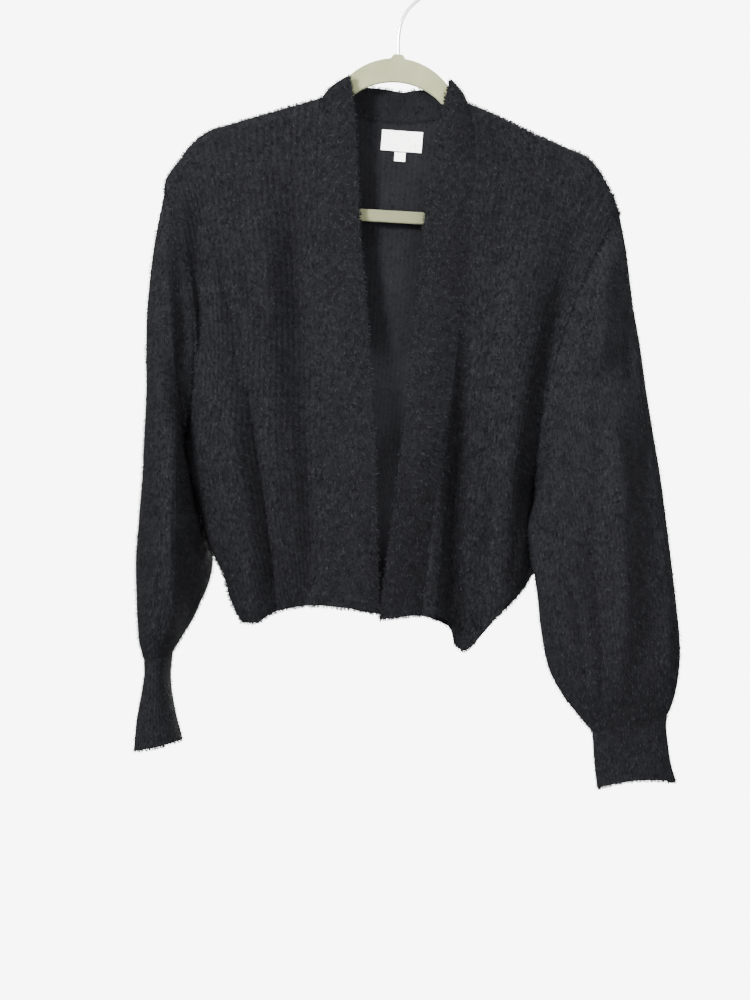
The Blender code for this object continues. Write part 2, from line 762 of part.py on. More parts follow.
def add_sleeves(fronts, normals, back, back_normals, look, cuff_look):
    top = slice(None, UNDERARM_ROW - 1, -1)
    sides = (
        ("left", 0, 0, SLEEVE_LEFT, CUFF_LEFT),
        ("right", 1, -1, SLEEVE_RIGHT, CUFF_RIGHT),
    )
    for name, k, column, table, cuff_table in sides:
        front_edge = (fronts[k][top, 0], normals[k][top, 0])
        back_edge = (back[top, column], back_normals[top, column])
        points, own = sleeve(table, front_edge, back_edge, 2 * RIBS_SLEEVE, name == "right")
        turned = outward(points[1:], own[1:])
        own[1:] = turned
        tangent = unit(np.roll(points[0], -1, axis=0) - np.roll(points[0], 1, axis=0))
        aside = unit(np.cross(tangent, own[0]))
        towards = np.sign(np.sum(aside * (points[1] - points[0]), axis=-1, keepdims=True))
        flat_rim(points, own, -1, CUFF_GAP, -2)
        points[0] = points[0] + aside * towards * ARMHOLE_GAP / 2
        add_cloth(f"sleeve_{name}", points, own, look, closed=True)
        shares = np.linspace(0, 1, RIBS_CUFF + 1)
        rings = []
        for row in cuff_table:
            front = half_ring(row, shares, back=False)
            behind = half_ring(row, shares, back=True)
            rings.append(np.concatenate([front[:-1], behind[:0:-1]]))
        tube = np.stack(rings)
        tube_normals = outward(tube, normals_of(tube, closed=True))
        flat_rim(tube, tube_normals, 0, CUFF_GAP, 1)
        add_cloth(f"cuff_{name}", tube, tube_normals, cuff_look, closed=True)


def grid_box(name, layers, cells, look):
    """Closed plate between two layers of points, each a grid of cells across and up."""
    built = bmesh.new()
    made = [[built.verts.new(point) for point in layer] for layer in layers]
    wide, high = cells[0] + 1, cells[1] + 1
    for layer in made:
        for a in range((high - 1) * wide):
            if a % wide < cells[0]:
                built.faces.new([layer[n] for n in (a, a + 1, a + 1 + wide, a + wide)])
    rim = [*range(wide), *range(2 * wide - 1, high * wide, wide)]
    rim += [*range(high * wide - 2, (high - 1) * wide - 1, -1)]
    rim += [*range((high - 2) * wide, 0, -wide)]
    for a, b in zip(rim, rim[1:] + rim[:1]):
        built.faces.new((made[0][a], made[0][b], made[1][b], made[1][a]))
    bmesh.ops.recalc_face_normals(built, faces=built.faces)
    mesh = bpy.data.meshes.new(name)
    built.to_mesh(mesh)
    built.free()
    return add_object(name, mesh, look)


def add_labels(back, back_normals, look):
    """Bare woven label and size tab, a little off the inner face of the back."""
    inner = (back - back_normals * WALL / 2)[:, ::2]
    rows, columns = inner.shape[:2]
    cells = [
        (a, a + 1, a + 1 + columns, a + columns)
        for a in range((rows - 1) * columns)
        if a % columns < columns - 1
    ]
    face = BVHTree.FromPolygons([tuple(point) for point in inner.reshape(-1, 3)], cells)
    c, s = math.cos(LABEL_TILT), math.sin(LABEL_TILT)
    for name, centre, size, divisions in (
        ("neck_label", LABEL_AT, LABEL_SIZE, (8, 4)),
        ("size_tab", TAB_AT, TAB_SIZE, (2, 2)),
    ):
        layers = [[], []]
        for up in np.linspace(-0.5, 0.5, divisions[1] + 1) * size[1]:
            for across in np.linspace(-0.5, 0.5, divisions[0] + 1) * size[0]:
                x = (centre[0] + across * c - up * s) * MM
                z = (centre[1] + across * s + up * c) * MM
                y = face.ray_cast((x, -1, z), (0, 1, 0))[0].y - LABEL_CLEARANCE
                layers[0].append((x, y, z))
                layers[1].append((x, y - LABEL_THICKNESS, z))
        grid_box(name, layers, divisions, look)


def hanger_point(x, drop):
    """A point of the upright hanger, as it hangs."""
    c, s = math.cos(HANGER_TILT), math.sin(HANGER_TILT)
    top_x, top_z = HANGER_TOP_AT
    return ((top_x + x * c + drop * s) * MM, (top_z + x * s - drop * c) * MM)


def arch_drop(x):
    return ARCH_RADIUS - math.sqrt(ARCH_RADIUS**2 - x * x)


def extruded(name, outline, look):
    """Flat plate from an outline in (x, drop), centred on the hanger's plane."""
    built = bmesh.new()
    corners = []
    for x, drop in outline:
        px, pz = hanger_point(x, drop)
        corners.append(built.verts.new((px, -HANGER_THICKNESS / 2, pz)))
    face = built.faces.new(corners)
    moved = bmesh.ops.extrude_face_region(built, geom=[face])["geom"]
    verts = [item for item in moved if isinstance(item, bmesh.types.BMVert)]
    bmesh.ops.translate(built, verts=verts, vec=(0, HANGER_THICKNESS, 0))
    bmesh.ops.recalc_face_normals(built, faces=built.faces)
    mesh = bpy.data.meshes.new(name)
    built.to_mesh(mesh)
    built.free()
    made = add_object(name, mesh, look)
    bevel = made.modifiers.new("soft edges", "BEVEL")
    bevel.width = HANGER_EDGE
    bevel.segments = 2
    bevel.limit_method = "ANGLE"
    bevel.angle_limit = math.radians(50)
    return made


def add_hanger(look, metal):
    """Arch with two arms, crossbar and wire hook."""
    arch = np.linspace(0, ARCH_HALF_WIDTH, ARCH_POINTS)
    upper = [(x, arch_drop(x)) for x in arch[1:]]
    lower = [(x, arch_drop(x) + ARCH_HEIGHT) for x in arch[:ARCH_UNDER]]
    arm_end_drop = ARM_START[1] + (ARM_END - ARM_START[0]) * ARM_SLOPE
    upper += [ARM_BEND, ARM_START, (ARM_END, arm_end_drop), *TIP_OUTLINE]
    under_start = (ARM_START[0], ARM_START[1] + ARM_HEIGHT)
    under_x, rise = ARM_UNDER_END
    inner = [*TIP_INNER, (under_x, arm_end_drop + ARM_HEIGHT - rise), under_start]
    ferrule = FERRULE_WIDTH / 2
    outline = [(-x, d) for x, d in upper[::-1]]
    outline += [(-ferrule, -FERRULE_HEIGHT), (ferrule, -FERRULE_HEIGHT)]
    outline += upper + inner + lower[:0:-1] + [(0, ARCH_HEIGHT)]
    outline += [(-x, d) for x, d in lower[1:]] + [(-x, d) for x, d in inner[::-1]]
    extruded("hanger_arms", outline, look)
    end, low = BAR_HALF_LENGTH, BAR_TOP + BAR_HEIGHT
    cut, rise = BAR_CORNER
    bar = [(-end, BAR_TOP), (end, BAR_TOP), (end, low - rise), (end - cut, low)]
    bar += [(cut - end, low), (-end, low - rise)]
    extruded("hanger_bar", bar, look)

    turns = np.linspace(HOOK_FROM, HOOK_TO, HOOK_POINTS)
    middle_z = WIRE_RADIUS - HOOK_RADIUS
    crook = [
        (HOOK_RADIUS * math.cos(turn), middle_z + HOOK_RADIUS * math.sin(turn))
        for turn in turns
    ]
    stem = along(STEM, np.linspace(0, 1, STEM_POINTS))
    route = [tuple(point) for point in stem] + crook
    wire = bpy.data.curves.new("hanger_hook", "CURVE")
    wire.dimensions = "3D"
    wire.bevel_depth = WIRE_RADIUS
    wire.bevel_resolution = 2
    wire.use_fill_caps = True
    path = wire.splines.new("POLY")
    path.points.add(len(route) - 1)
    for point, (x, z) in zip(path.points, route):
        point.co = (x, 0, z, 1)
    made = bpy.data.objects.new("hanger_hook", wire)
    wire.materials.append(metal)
    bpy.context.scene.collection.objects.link(made)


def main():
    for old in list(bpy.data.objects):
        bpy.data.objects.remove(old, do_unlink=True)
    knit = material("brushed charcoal knit", (0.017, 0.018, 0.021), 0.95, sheen=0.4)
    rib = material("charcoal rib", (0.019, 0.020, 0.023), 0.95, sheen=0.4)
    woven = material("white woven label", (0.85, 0.85, 0.83), 0.7)
    flock = material("sage flock", (0.52, 0.54, 0.42), 0.9, sheen=0.5)
    metal = material("polished wire", (0.60, 0.60, 0.60), 0.2, metallic=1.0)
    fronts, normals, back, back_normals = body_panels()
    sew_body(fronts, normals, back, back_normals, knit)
    add_bands(fronts, normals, back, back_normals, rib)
    add_sleeves(fronts, normals, back, back_normals, knit, rib)
    add_labels(back, back_normals, woven)
    add_hanger(flock, metal)


main()
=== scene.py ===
"""Looks of an open-front rib-knit cardigan hanging on a flocked hanger.

Metres, Z up, the viewer at -Y. "Left" and "right" in names are the viewer's. Tables are in
millimetres, in the hanger's plane, and scaled by MM where they are read.
"""

import itertools
import math

import bmesh
import bpy
import numpy as np
from mathutils.bvhtree import BVHTree
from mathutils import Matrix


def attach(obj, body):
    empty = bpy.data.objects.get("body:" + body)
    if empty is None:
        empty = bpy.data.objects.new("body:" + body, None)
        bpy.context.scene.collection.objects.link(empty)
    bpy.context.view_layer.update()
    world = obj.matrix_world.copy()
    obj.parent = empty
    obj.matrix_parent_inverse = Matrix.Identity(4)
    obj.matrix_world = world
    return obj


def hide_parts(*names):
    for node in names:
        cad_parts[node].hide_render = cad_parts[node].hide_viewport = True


MM = 0.001
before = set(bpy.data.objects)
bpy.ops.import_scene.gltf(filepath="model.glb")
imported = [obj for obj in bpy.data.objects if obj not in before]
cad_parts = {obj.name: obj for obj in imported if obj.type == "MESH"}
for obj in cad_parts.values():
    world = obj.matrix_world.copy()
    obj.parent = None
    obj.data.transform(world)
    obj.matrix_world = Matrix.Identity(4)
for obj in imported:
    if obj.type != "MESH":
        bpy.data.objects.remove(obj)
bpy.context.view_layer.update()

# Knitted cloth
WALL = 2.4 * MM
BAND_WALL = 3.4 * MM
RIB_HEIGHT = 0.5 * MM
PATTERN_LENGTH = 5 * MM  # along a rib, for one step of the knit's UV map
# What shows is sewn a little into its neighbour, where the solids keep a gap
SEAM_GAP = -0.3 * MM
ARMHOLE_GAP = -0.5 * MM
BAND_GAP = -0.6 * MM
CUFF_GAP = -0.4 * MM
CLOTH_SHARP, LABEL_SHARP = 75, 50  # degrees at which an edge stays sharp

# Ribs of each piece, and the heights of a rib's columns of points, as shares of RIB_HEIGHT
RIB_PROFILE = (0.0, 0.75, 1.0, 0.75)
PER_RIB = len(RIB_PROFILE)
RIBS_FRONT = 26
RIBS_NECK = 28
RIBS_SLEEVE = 84
RIBS_CUFF = 48
FRONT_COLUMNS = PER_RIB * RIBS_FRONT + 1
BAND_COLUMNS = 32
NECK_STATIONS = 24
SAMPLES = 600  # of a curve before it is read at shares of its length

# Rows of a body panel, as shares of its height, the last ones close for the rounded shoulder
UNDERARM = 0.34
UNDERARM_ROW = 29
BODY_ROWS = np.concatenate(
    [
        np.linspace(0, UNDERARM, UNDERARM_ROW + 1),
        np.linspace(UNDERARM, 0.97, 52)[1:],
        [0.977, 0.983, 0.988, 0.992, 0.995, 0.998, 1.0],
    ]
)
RINGS_PER_ROW = 6  # of a sleeve, between two rows of its table
CUFF_RINGS_PER_ROW = 9
HEAD_ROWS = 26  # rings of a sleeve over which its ribs come out of the fuzz

# How a panel rounds off at its sides and how near a seam its folds and creases die out
SIDE_ROUNDING = 30 * MM
SIDE_SLANT = 0.25  # how much a distance up the cloth counts towards that rounding
FOLD_STOP, FOLD_EASE = 0.97, 0.03  # share of the height where folds end, and over which
CREASE_EASE = 0.05
ARMHOLE_EASE = 0.06
QUIET_SEAM, QUIET_ARMHOLE = 14 * MM, 5 * MM
SLEEVE_EASE = (0.08, 0.10)  # share of a sleeve's length at its head and its cuff
UNDERARM_TURN = 0.5  # how far the normal turns down at the foot of the armhole
SLEEVE_TURN = 2.5  # how quickly its front's creases give way to its back's

# Distance of the front and back panels from the hanger's plane, by share of their height
DEPTHS = (
    # share, front, back
    (0.00, 24, 22),
    (0.25, 25, 22),
    (0.50, 19, 18),
    (0.75, 12.5, 13),
    (0.90, 9, 9),
    (0.955, 7.8, 7.8),
    (0.982, 6.8, 6.8),
    (0.995, 4.6, 4.6),
    (1.00, 0, 0),
)

# Side seams, hem corner to underarm
SIDE_LEFT = (  # x, y, z
    (-162, -11, -660), (-171, -12, -644), (-182, -12, -609), (-192.5, -12, -589),
    (-207, -12, -539), (-213, -11, -520), (-217.5, -8, -505), (-221, 0, -491),
)
SIDE_RIGHT = (  # x, y, z
    (143, 15, -595), (139, 15, -572), (134, 12, -550), (130, 7, -537), (127, 0, -523),
)

# Shoulder seams, armhole to neck
SHOULDER_LEFT = (  # x, z
    (-240, -229), (-239, -220), (-234, -211), (-226, -201), (-217.5, -189), (-200, -173.5),
    (-171, -163.5), (-129, -151), (-83, -138),
)
SHOULDER_RIGHT = (  # x, z
    (212, -252), (207, -238), (200, -224), (191.5, -209.5), (180, -197), (161, -188.5),
    (126, -173), (88, -154.5), (60, -143),
)

# Seam between each front and its band, neck to hem
BAND_SEAM_LEFT = (  # x, z
    (-83, -138), (-86, -152), (-88, -179), (-88, -229), (-86, -290), (-84, -439), (-83, -539),
    (-83, -644),
)
BAND_SEAM_RIGHT = (  # x, z
    (60, -143), (64, -156), (68, -189), (66, -229), (61, -289), (56, -339), (50, -389),
    (44, -439), (35, -489), (27, -539), (20, -599), (14.5, -652),
)

# Hems, side seam to band
HEM_LEFT = (  # x, z
    (-162, -660), (-146, -659), (-135, -652), (-123, -648), (-106, -645), (-83, -644),
)
HEM_RIGHT = (  # x, z
    (143, -595), (129, -608), (117, -625), (101.5, -642), (90, -653), (79, -666), (71.5, -676),
    (65.5, -684), (59, -689), (51, -686), (45, -667), (38, -655), (28, -653), (14.5, -652),
)
HEM_BACK = (  # x, z, left side seam to right side seam
    (-162, -660), (-123, -645), (-83, -641), (-25, -654), (14, -655), (40, -664), (60, -678),
    (82, -660), (117, -621), (143, -595),
)

# Back neck edge, where the collar is sewn on
NECK = (  # x, y, z
    (-83, 0, -138), (-75, 8, -144), (-60, 13, -151), (-36, 17, -157), (-11, 19, -160),
    (14, 18, -159.5), (38, 13, -155), (53, 8, -149), (60, 0, -143),
)
NECK_REACH = 0.30  # share of the back's height over which it comes in from its neck edge

# Free edge of the band: for each height of its seam, where the edge lies, and how far it
# stands in front of the seam
EDGE_LEFT = (  # seam z, edge x, edge z, lift
    (-138, -68, -123, 0), (-142, -59, -118.5, 3), (-152, -55.5, -122, 3.5),
    (-172, -52, -150, 3), (-205, -49, -200, 3), (-269, -46, -269, 3), (-379, -37, -379, 4),
    (-489, -31, -489, 5), (-589, -28.5, -590, 5), (-644, -26.5, -650, 5),
)
EDGE_RIGHT = (  # seam z, edge x, edge z, lift
    (-143, 48, -126, 0), (-147, 44.5, -121.5, 3), (-157, 42, -128, 3.5), (-177, 36, -153, 3),
    (-205, 28, -200, 3), (-254, 19, -254, 3), (-339, 11, -339, 5), (-419, 3.5, -419, 8),
    (-476, -4, -476, 10), (-557, -14, -557, 11), (-652, -26.5, -656, 11),
)
# The collar's free edge round the back of the neck
EDGE_NECK_LEFT = (  # x, y, z
    (-68, 0, -123), (-60, 8, -123.5), (-44, 12, -124), (-22, 15, -125.5), (-3, 16, -128.8),
)
EDGE_NECK_RIGHT = (  # x, y, z
    (48, 0, -126), (41, 8, -126), (30, 12, -126), (13, 15, -126.5), (-3, 16, -128.8),
)
COLLAR_ROLL = 2.0 * MM  # how far the collar bows outwards between seam and edge

# Large folds of the fronts and, in the same columns, of the back. height is outwards,
# negative in a trough.
FRONT_FOLDS = (
    # top x, top z, middle x, middle z, bottom x, bottom z, half width, height
    (-206, -245, -162, -429, -122, -700, 16, -6),
    (-176, -340, -172, -500, -150, -700, 18, 5),
    (-110, -180, -98, -480, -100, -700, 25, -19),
    (40, -300, 34, -480, 24, -700, 13, 8),
    (63, -230, 60, -480, 56, -700, 22, -18),
    (112, -240, 104, -480, 84, -700, 17, 10),
    (178, -215, 147, -400, 122, -620, 13, -11),
)
BACK_FOLDS = (
    (-190, -250, -158, -450, -130, -700, 17, -12),
    (-118, -270, -108, -480, -94, -700, 20, 9),
    (-56, -250, -50, -500, -44, -700, 19, -13),
    (6, -290, 6, -500, 8, -700, 20, 8),
    (64, -310, 50, -500, 40, -740, 15, -12),
    (104, -300, 86, -500, 66, -740, 19, 10),
    (154, -230, 134, -430, 118, -650, 17, -13),
)
FOLD_FADE = 170 * MM  # length over which a fold dies out at its top

TUCK = 2.0  # how far the cloth tucks in beside the body, 0 for a round side
TUCK_ROWS = 4  # rings over which it starts to do so
# Sleeves: each row is one ring, armhole to cuff. out and in are its ends towards and away
# from the shoulder tip as seen from the front; y_* are its depths at out, front, in, back.
# front at is the share of the way from out to in where it is deepest, and bow is how far
# its middle curves towards the body.
SLEEVE_LEFT = (
    # out x, out z, in x, in z, y_out, y_front, y_in, y_back, front at, bow
    (-240, -229, -221, -491, 0, -12, 0, 12, 0.45, 19),
    (-250.5, -284, -226, -502, 0, -19, 3, 19, 0.44, 5),
    (-256.5, -339, -222, -518, 0, -27, 7, 28, 0.43, 3),
    (-258, -384, -215, -532, 0, -35, 10, 36, 0.42, 2),
    (-258, -429, -208.5, -546, 2, -42, 11, 44, 0.43, 2),
    (-260, -474, -205, -558, 3, -48, 12, 51, 0.44, 1),
    (-262, -517, -201, -571, 4, -52, 13, 57, 0.46, 0),
    (-265, -554, -198, -586, 4, -54, 13, 60, 0.48, 0),
    (-268, -592, -196, -604, 4, -54, 13, 60, 0.50, 0),
    (-268, -629, -202, -628, 4, -51, 12, 57, 0.52, 0),
    (-267, -657, -214, -652, 3, -46, 9, 51, 0.54, 0),
    (-265, -679, -226, -675, 2, -40, 4, 43, 0.54, 0),
    (-260, -699, -235, -690, 1, -32, 1, 33, 0.52, 0),
)
SLEEVE_RIGHT = (
    (212, -252, 127, -523, 0, -12, 0, 12, 0.45, 17),
    (218, -286, 129, -535, -3, -21, -4, 13, 0.46, 11),
    (221.5, -316, 127.5, -545, -5, -29, -9, 12, 0.48, 8),
    (225, -348, 124.5, -555, -8, -36, -14, 9, 0.50, 6),
    (231, -385, 122, -567, -11, -40, -19, 6, 0.50, 5),
    (236, -425, 123, -581, -14, -45, -23, 3, 0.50, 3),
    (242.5, -468, 124.5, -596, -17, -49, -26, 0, 0.50, 1),
    (250.5, -518, 128, -615, -20, -52, -28, 0, 0.50, 0),
    (257.5, -575, 131, -638, -22, -54, -29, 0, 0.50, 0),
    (264.5, -635, 134, -667, -24, -54, -30, 0, 0.50, 0),
    (269, -685, 140.5, -701, -25, -51, -30, -2, 0.50, 0),
    (266.5, -717, 153, -727, -26, -46, -29, -8, 0.50, 0),
    (261.5, -739, 168, -747, -26, -40, -28, -14, 0.50, 0),
    (256.5, -751, 184.5, -767, -26, -35, -27, -18, 0.50, 0),
)
# Cuffs, in the same columns, from the sleeve to the open end
CUFF_LEFT = (
    (-260, -699, -235, -690, 1, -32, 1, 33, 0.52, 0),
    (-260.5, -719, -237, -719, 1, -29, 1, 31, 0.50, 0),
    (-267.5, -758, -232, -751, 0, -27, 0, 29, 0.50, 0),
    (-270.5, -789, -225, -778, 0, -26, 0, 28, 0.50, 0),
)
CUFF_RIGHT = (
    (256.5, -751, 184.5, -767, -26, -35, -27, -18, 0.50, 0),
    (255.5, -764, 185.5, -776, -26, -34, -26, -18, 0.50, 0),
    (259.5, -796, 187.5, -804, -25, -33, -25, -17, 0.50, 0),
    (265.5, -818, 190, -823.5, -24, -33, -24, -16, 0.50, 0),
)
MOUTH_RISE = {"left": 0.0, "right": 5.5 * MM}  # of a cuff's mouth in its middle

# Neck label and size tab, on the inside of the back
LABEL_AT = (-4.0, -178.0)  # centre, x and z in millimetres
LABEL_SIZE = (41.0, 21.0)
TAB_AT = (-6.0, -194.0)
TAB_SIZE = (11.0, 9.0)
LABEL_CELLS, TAB_CELLS = (40, 20), (12, 10)
LABEL_TILT = math.radians(-4.5)
LABEL_THICKNESS = 0.8 * MM
LABEL_CLEARANCE = 0.5 * MM

# Hanger, in its own upright frame: x from its middle, drop below the top of its arch
HANGER_TOP_AT = (-8.0, -97.5)  # x and z in millimetres of the top of the arch
HANGER_TILT = math.radians(-3.4)
HANGER_THICKNESS = 5.0 * MM
HANGER_EDGE = 1.4 * MM  # by which its edges are rounded
HANGER_EDGE_FROM = 50  # degrees between faces from which they are
ARCH_RADIUS = 66.0
ARCH_HEIGHT = 24.0
ARCH_HALF_WIDTH = 57.0
ARCH_POINTS, ARCH_SHORT = 40, 7  # over half of the arch, and fewer by on its underside
ARM_BEND = (64.0, 46.5)  # x and drop between the arch and the straight arm
ARM_START = (77.0, 52.5)
ARM_SLOPE = math.tan(math.radians(21.0))
ARM_END = 184.0
ARM_HEIGHT = 12.5
TIP_OUTLINE = ((197.0, 102.0), (206.0, 114.0), (211.0, 127.0), (212.0, 152.0))
TIP_CORNER = (10, 2)  # by which the arm's underside ends short of its end
TIP_INNER = ((199.0, 152.0), (198.0, 131.0), (192.0, 117.0))
BAR_TOP = 152.3
BAR_HEIGHT = 12.0
BAR_HALF_LENGTH = 210.0
BAR_CORNER = ((0, 4), (1.8, 1.2), (6, 0))  # in from its end, up from its lower edge
FERRULE_WIDTH = 9.0  # at its top
FERRULE_HEIGHT = 4.0
FERRULE_FOOT = 7.0  # half of its width on the arch

# Hook: a wire with its crown's inner side at the origin
WIRE_RADIUS = 1.65 * MM
HOOK_RADIUS = 23.5 * MM  # of the wire's centre line
HOOK_FROM, HOOK_TO = math.radians(-15), math.radians(200)
HOOK_POINTS = 60
STEM_POINTS = 30
STEM = (  # x, z of the wire's centre line, ferrule to crook
    (-7.7, -95), (-7.2, -74), (-3.6, -58.5), (5.5, -45), (15.5, -36.5),
)

# Creases that are finer than the folds above: soft troughs and ridges. sag is how far the
# middle bows to the right of the straight line, height is outwards, negative in a trough.
# The back's table has the front's columns, and the right sleeve's has the left's.
CREASES_FRONT = (
    # start x, start z, end x, end z, sag, half width, height, power: 2 is soft, 1 is sharp
    (-212, -222, -208, -410, 3, 10, -8, 2),
    (-202, -248, -165, -424, 4, 5, -4, 1.3),
    (-186, -262, -154, -420, 4, 8, 2.4, 2),
    (-164, -400, -128, -668, 3, 4, -5.5, 1.2),
    (-182, -420, -142, -655, 2, 11, 4.5, 2),
    (-152, -345, -118, -388, 2, 6, -1.8, 1.6),
    (-148, -240, -136, -380, 3, 10, 3, 2),
    (-112, -210, -104, -400, -4, 10, -2, 2),
    (-118, -430, -108, -655, 4, 8, 2.6, 2),
    (-96, -500, -92, -650, 2, 7, -2, 1.6),
    (-70, -300, -64, -560, 3, 9, 2.4, 2),
    (-80, -436, -215, -426, 4, 5, -1.6, 1.6),
    (46, -200, 40, -420, -3, 10, 3, 2),
    (74, -180, 116, -214, 3, 7, -2.4, 1.5),
    (96, -220, 78, -400, 6, 9, -2, 2),
    (140, -216, 160, -262, 4, 9, -2.6, 2),
    (132, -260, 112, -470, 5, 10, 3, 2),
    (60, -428, 150, -424, -3, 5, -1.6, 1.6),
    (54, -470, 44, -664, -4, 5, -3.4, 1.3),
    (92, -480, 68, -690, 3, 9, 3, 2),
    (118, -450, 98, -640, 4, 6, -3, 1.5),
    (74, -570, 56, -688, -3, 5, -2.6, 1.4),
)
CREASES_BACK = (
    (-206, -240, -160, -500, -8, 9, -4, 2),
    (-150, -470, -112, -655, -3, 4, -4, 1.3),
    (-134, -224, -120, -430, 5, 10, 2.2, 2),
    (-84, -300, -76, -640, -4, 5, -3.2, 1.5),
    (-56, -230, -48, -400, 3, 9, 2, 2),
    (-30, -420, -22, -650, 6, 9, 2.6, 2),
    (-170, -432, 130, -426, 5, 5, -1.8, 1.6),
    (24, -330, 30, -655, -5, 5, -3.4, 1.4),
    (56, -240, 58, -470, 6, 10, 2.4, 2),
    (108, -230, 96, -520, 8, 9, -2.8, 2),
    (150, -225, 120, -450, 6, 8, 3, 2),
    (92, -500, 74, -660, -4, 5, -3.4, 1.4),
    (-182, -500, -140, -645, -4, 9, 3, 2),
)
CREASES_SLEEVE_LEFT = (
    # start x, start z, end x, end z, sag, half width, height, power, 1 in front or -1 behind
    (-232, -175, -235, -430, -2, 11, 11, 1.25, 1),
    (-219, -190, -220, -430, -2, 8, -5, 1.8, 1),
    (-235, -370, -232, -700, 1, 9, 8, 1.2, 1),
    (-219, -560, -213, -690, 3, 9, -5, 1.8, 1),
    (-251, -330, -252, -620, 2, 7, -2.4, 2, 1),
    (-226, -560, -226, -690, 2, 4, -2, 1.5, 1),
    (-258, -560, -248, -690, -3, 5, 2, 2, 1),
    (-236, -300, -236, -690, 3, 7, 6, 1.3, -1),
    (-220, -420, -224, -670, -3, 7, -3.6, 2, -1),
    (-251, -360, -250, -640, 2, 7, -3, 2, -1),
    (-208, -540, -226, -680, 4, 6, 2.4, 2, -1),
)
CREASES_SLEEVE_RIGHT = (
    (200, -275, 190, -420, -2, 11, 10, 2, 1),
    (228, -300, 222, -440, -2, 9, -4, 2, 1),
    (150, -436, 204, -424, 10, 6, -3.6, 1.6, 1),
    (146, -470, 172, -650, -6, 9, 3.6, 2, 1),
    (204, -440, 206, -760, 6, 12, 6, 1.6, 1),
    (234, -430, 238, -740, 4, 19, -5, 2, 1),
    (184, -420, 176, -620, 6, 7, -2.6, 1.8, 1),
    (176, -560, 192, -760, 4, 6, -3.2, 1.5, 1),
    (252, -540, 255, -730, 3, 6, 2.6, 2, 1),
    (148, -600, 176, -740, 6, 5, -2.6, 1.5, 1),
    (180, -290, 168, -600, -10, 9, -4.6, 2, -1),
    (210, -340, 226, -700, 6, 9, 4.6, 1.6, -1),
    (158, -480, 190, -740, 6, 7, -4, 1.8, -1),
    (236, -500, 246, -740, 4, 8, -3.6, 2, -1),
    (192, -560, 206, -760, 4, 6, 3, 1.8, -1),
)
CREASE_ENDS = 0.22  # share of a crease's length over which each end dies out
CREASE_ROUND = 0.01  # rounds the bottom of a sharp crease
WAVES = (
    # pitch across, pitch along, phase, height
    (37, 83, 0.4, 0.35),
    (61, 47, 2.1, 0.25),
    (23, 31, 4, 0.18),
)

# Nap. Length, width, lift (least, most), spread, and the shares that are dark and not light
BODY_FIBRE = ((2.6, 5.2), 0.54, (6, 75), 24, (0.44, 0.86))
EDGE_FIBRE = ((2.5, 5.0), 0.55, (6, 60), 34, (0.40, 0.85))
RIB_FIBRE = ((2.0, 4.0), 0.5, (6, 60), 24, (0.40, 0.84))
INSIDE_FIBRE = ((2.5, 4.5), 0.5, (5, 40), 25, (0.50, 0.93))
HEM_FIBRE = ((2.0, 4.5), 0.75, (0, 40), 16, (0.45, 0.9))
TOP_FIBRE = ((2.2, 4.2), 0.85, (45, 110), 34, (0.45, 0.9))
SEAM_FIBRE = ((3.2, 5.8), 0.8, (2, 32), 45, (0.34, 0.78))  # bridges a seam
STRAY_SHARE = 0.24  # fibres that stand off the cloth
STRAY_LIFT = (35.0, 88.0)
STRAY_WIDTH = 1.25  # against the other fibres
FALL = (0.1, 0.9)  # share of a fibre's lift that its outer half keeps
WIDTH_RANGE = (0.7, 1.2)  # shares of the width given
PATCH_SHARE = 0.44  # of a fibre's tone that follows its patch
ROOT_DEPTH, FRINGE_ROOT = 0.2 * MM, 0.6 * MM
FUZZ = (
    # fibre, and how many of it on each skin
    (BODY_FIBRE, {"front_left": 36000, "front_right": 38000, "back": 62000}),
    (BODY_FIBRE, {"sleeve_left": 44000, "sleeve_right": 52000}),
    (EDGE_FIBRE, {"band_left": 15000, "band_right": 15000}),
    (RIB_FIBRE, {"cuff_left": 7000, "cuff_right": 7000}),
    (INSIDE_FIBRE, {"back_inside": 20000, "band_left_inside": 5000, "band_right_inside": 5000}),
)
FRINGES = (
    # edge, fibres to a millimetre, fibre, skins
    ("hem", 2.4, HEM_FIBRE, ("front_left", "front_right", "back", "band_left", "band_right")),
    ("shoulder", 4.0, TOP_FIBRE, ("front_left", "front_right")),
    ("side", 7.0, SEAM_FIBRE, ("front_left", "front_right")),
    ("side", 6.0, SEAM_FIBRE, ("back",)),
    ("free", 6.0, SEAM_FIBRE, ("back",)),
    ("free", 1.6, HEM_FIBRE, ("band_left", "band_right")),
    ("mouth", 2.0, HEM_FIBRE, ("cuff_left", "cuff_right")),
)
# Darkest and lightest tones of the knit. Its grooves are painted darker as painted shade and its
# crests lighter as painted light; the rest of the spread is random streaks.
KNIT_TONES = ((0.0026, 0.0026, 0.0031), (0.009, 0.0092, 0.0108))  # groove, crest
FIBRE_TONES = (
    ("dark fibre", (0.0018, 0.0018, 0.0022)),
    ("middle fibre", (0.0046, 0.0047, 0.0055)),
    ("light fibre", (0.0146, 0.0150, 0.0174)),
)
FLOCK_TONES = ((0.110, 0.116, 0.064), (0.178, 0.185, 0.106))

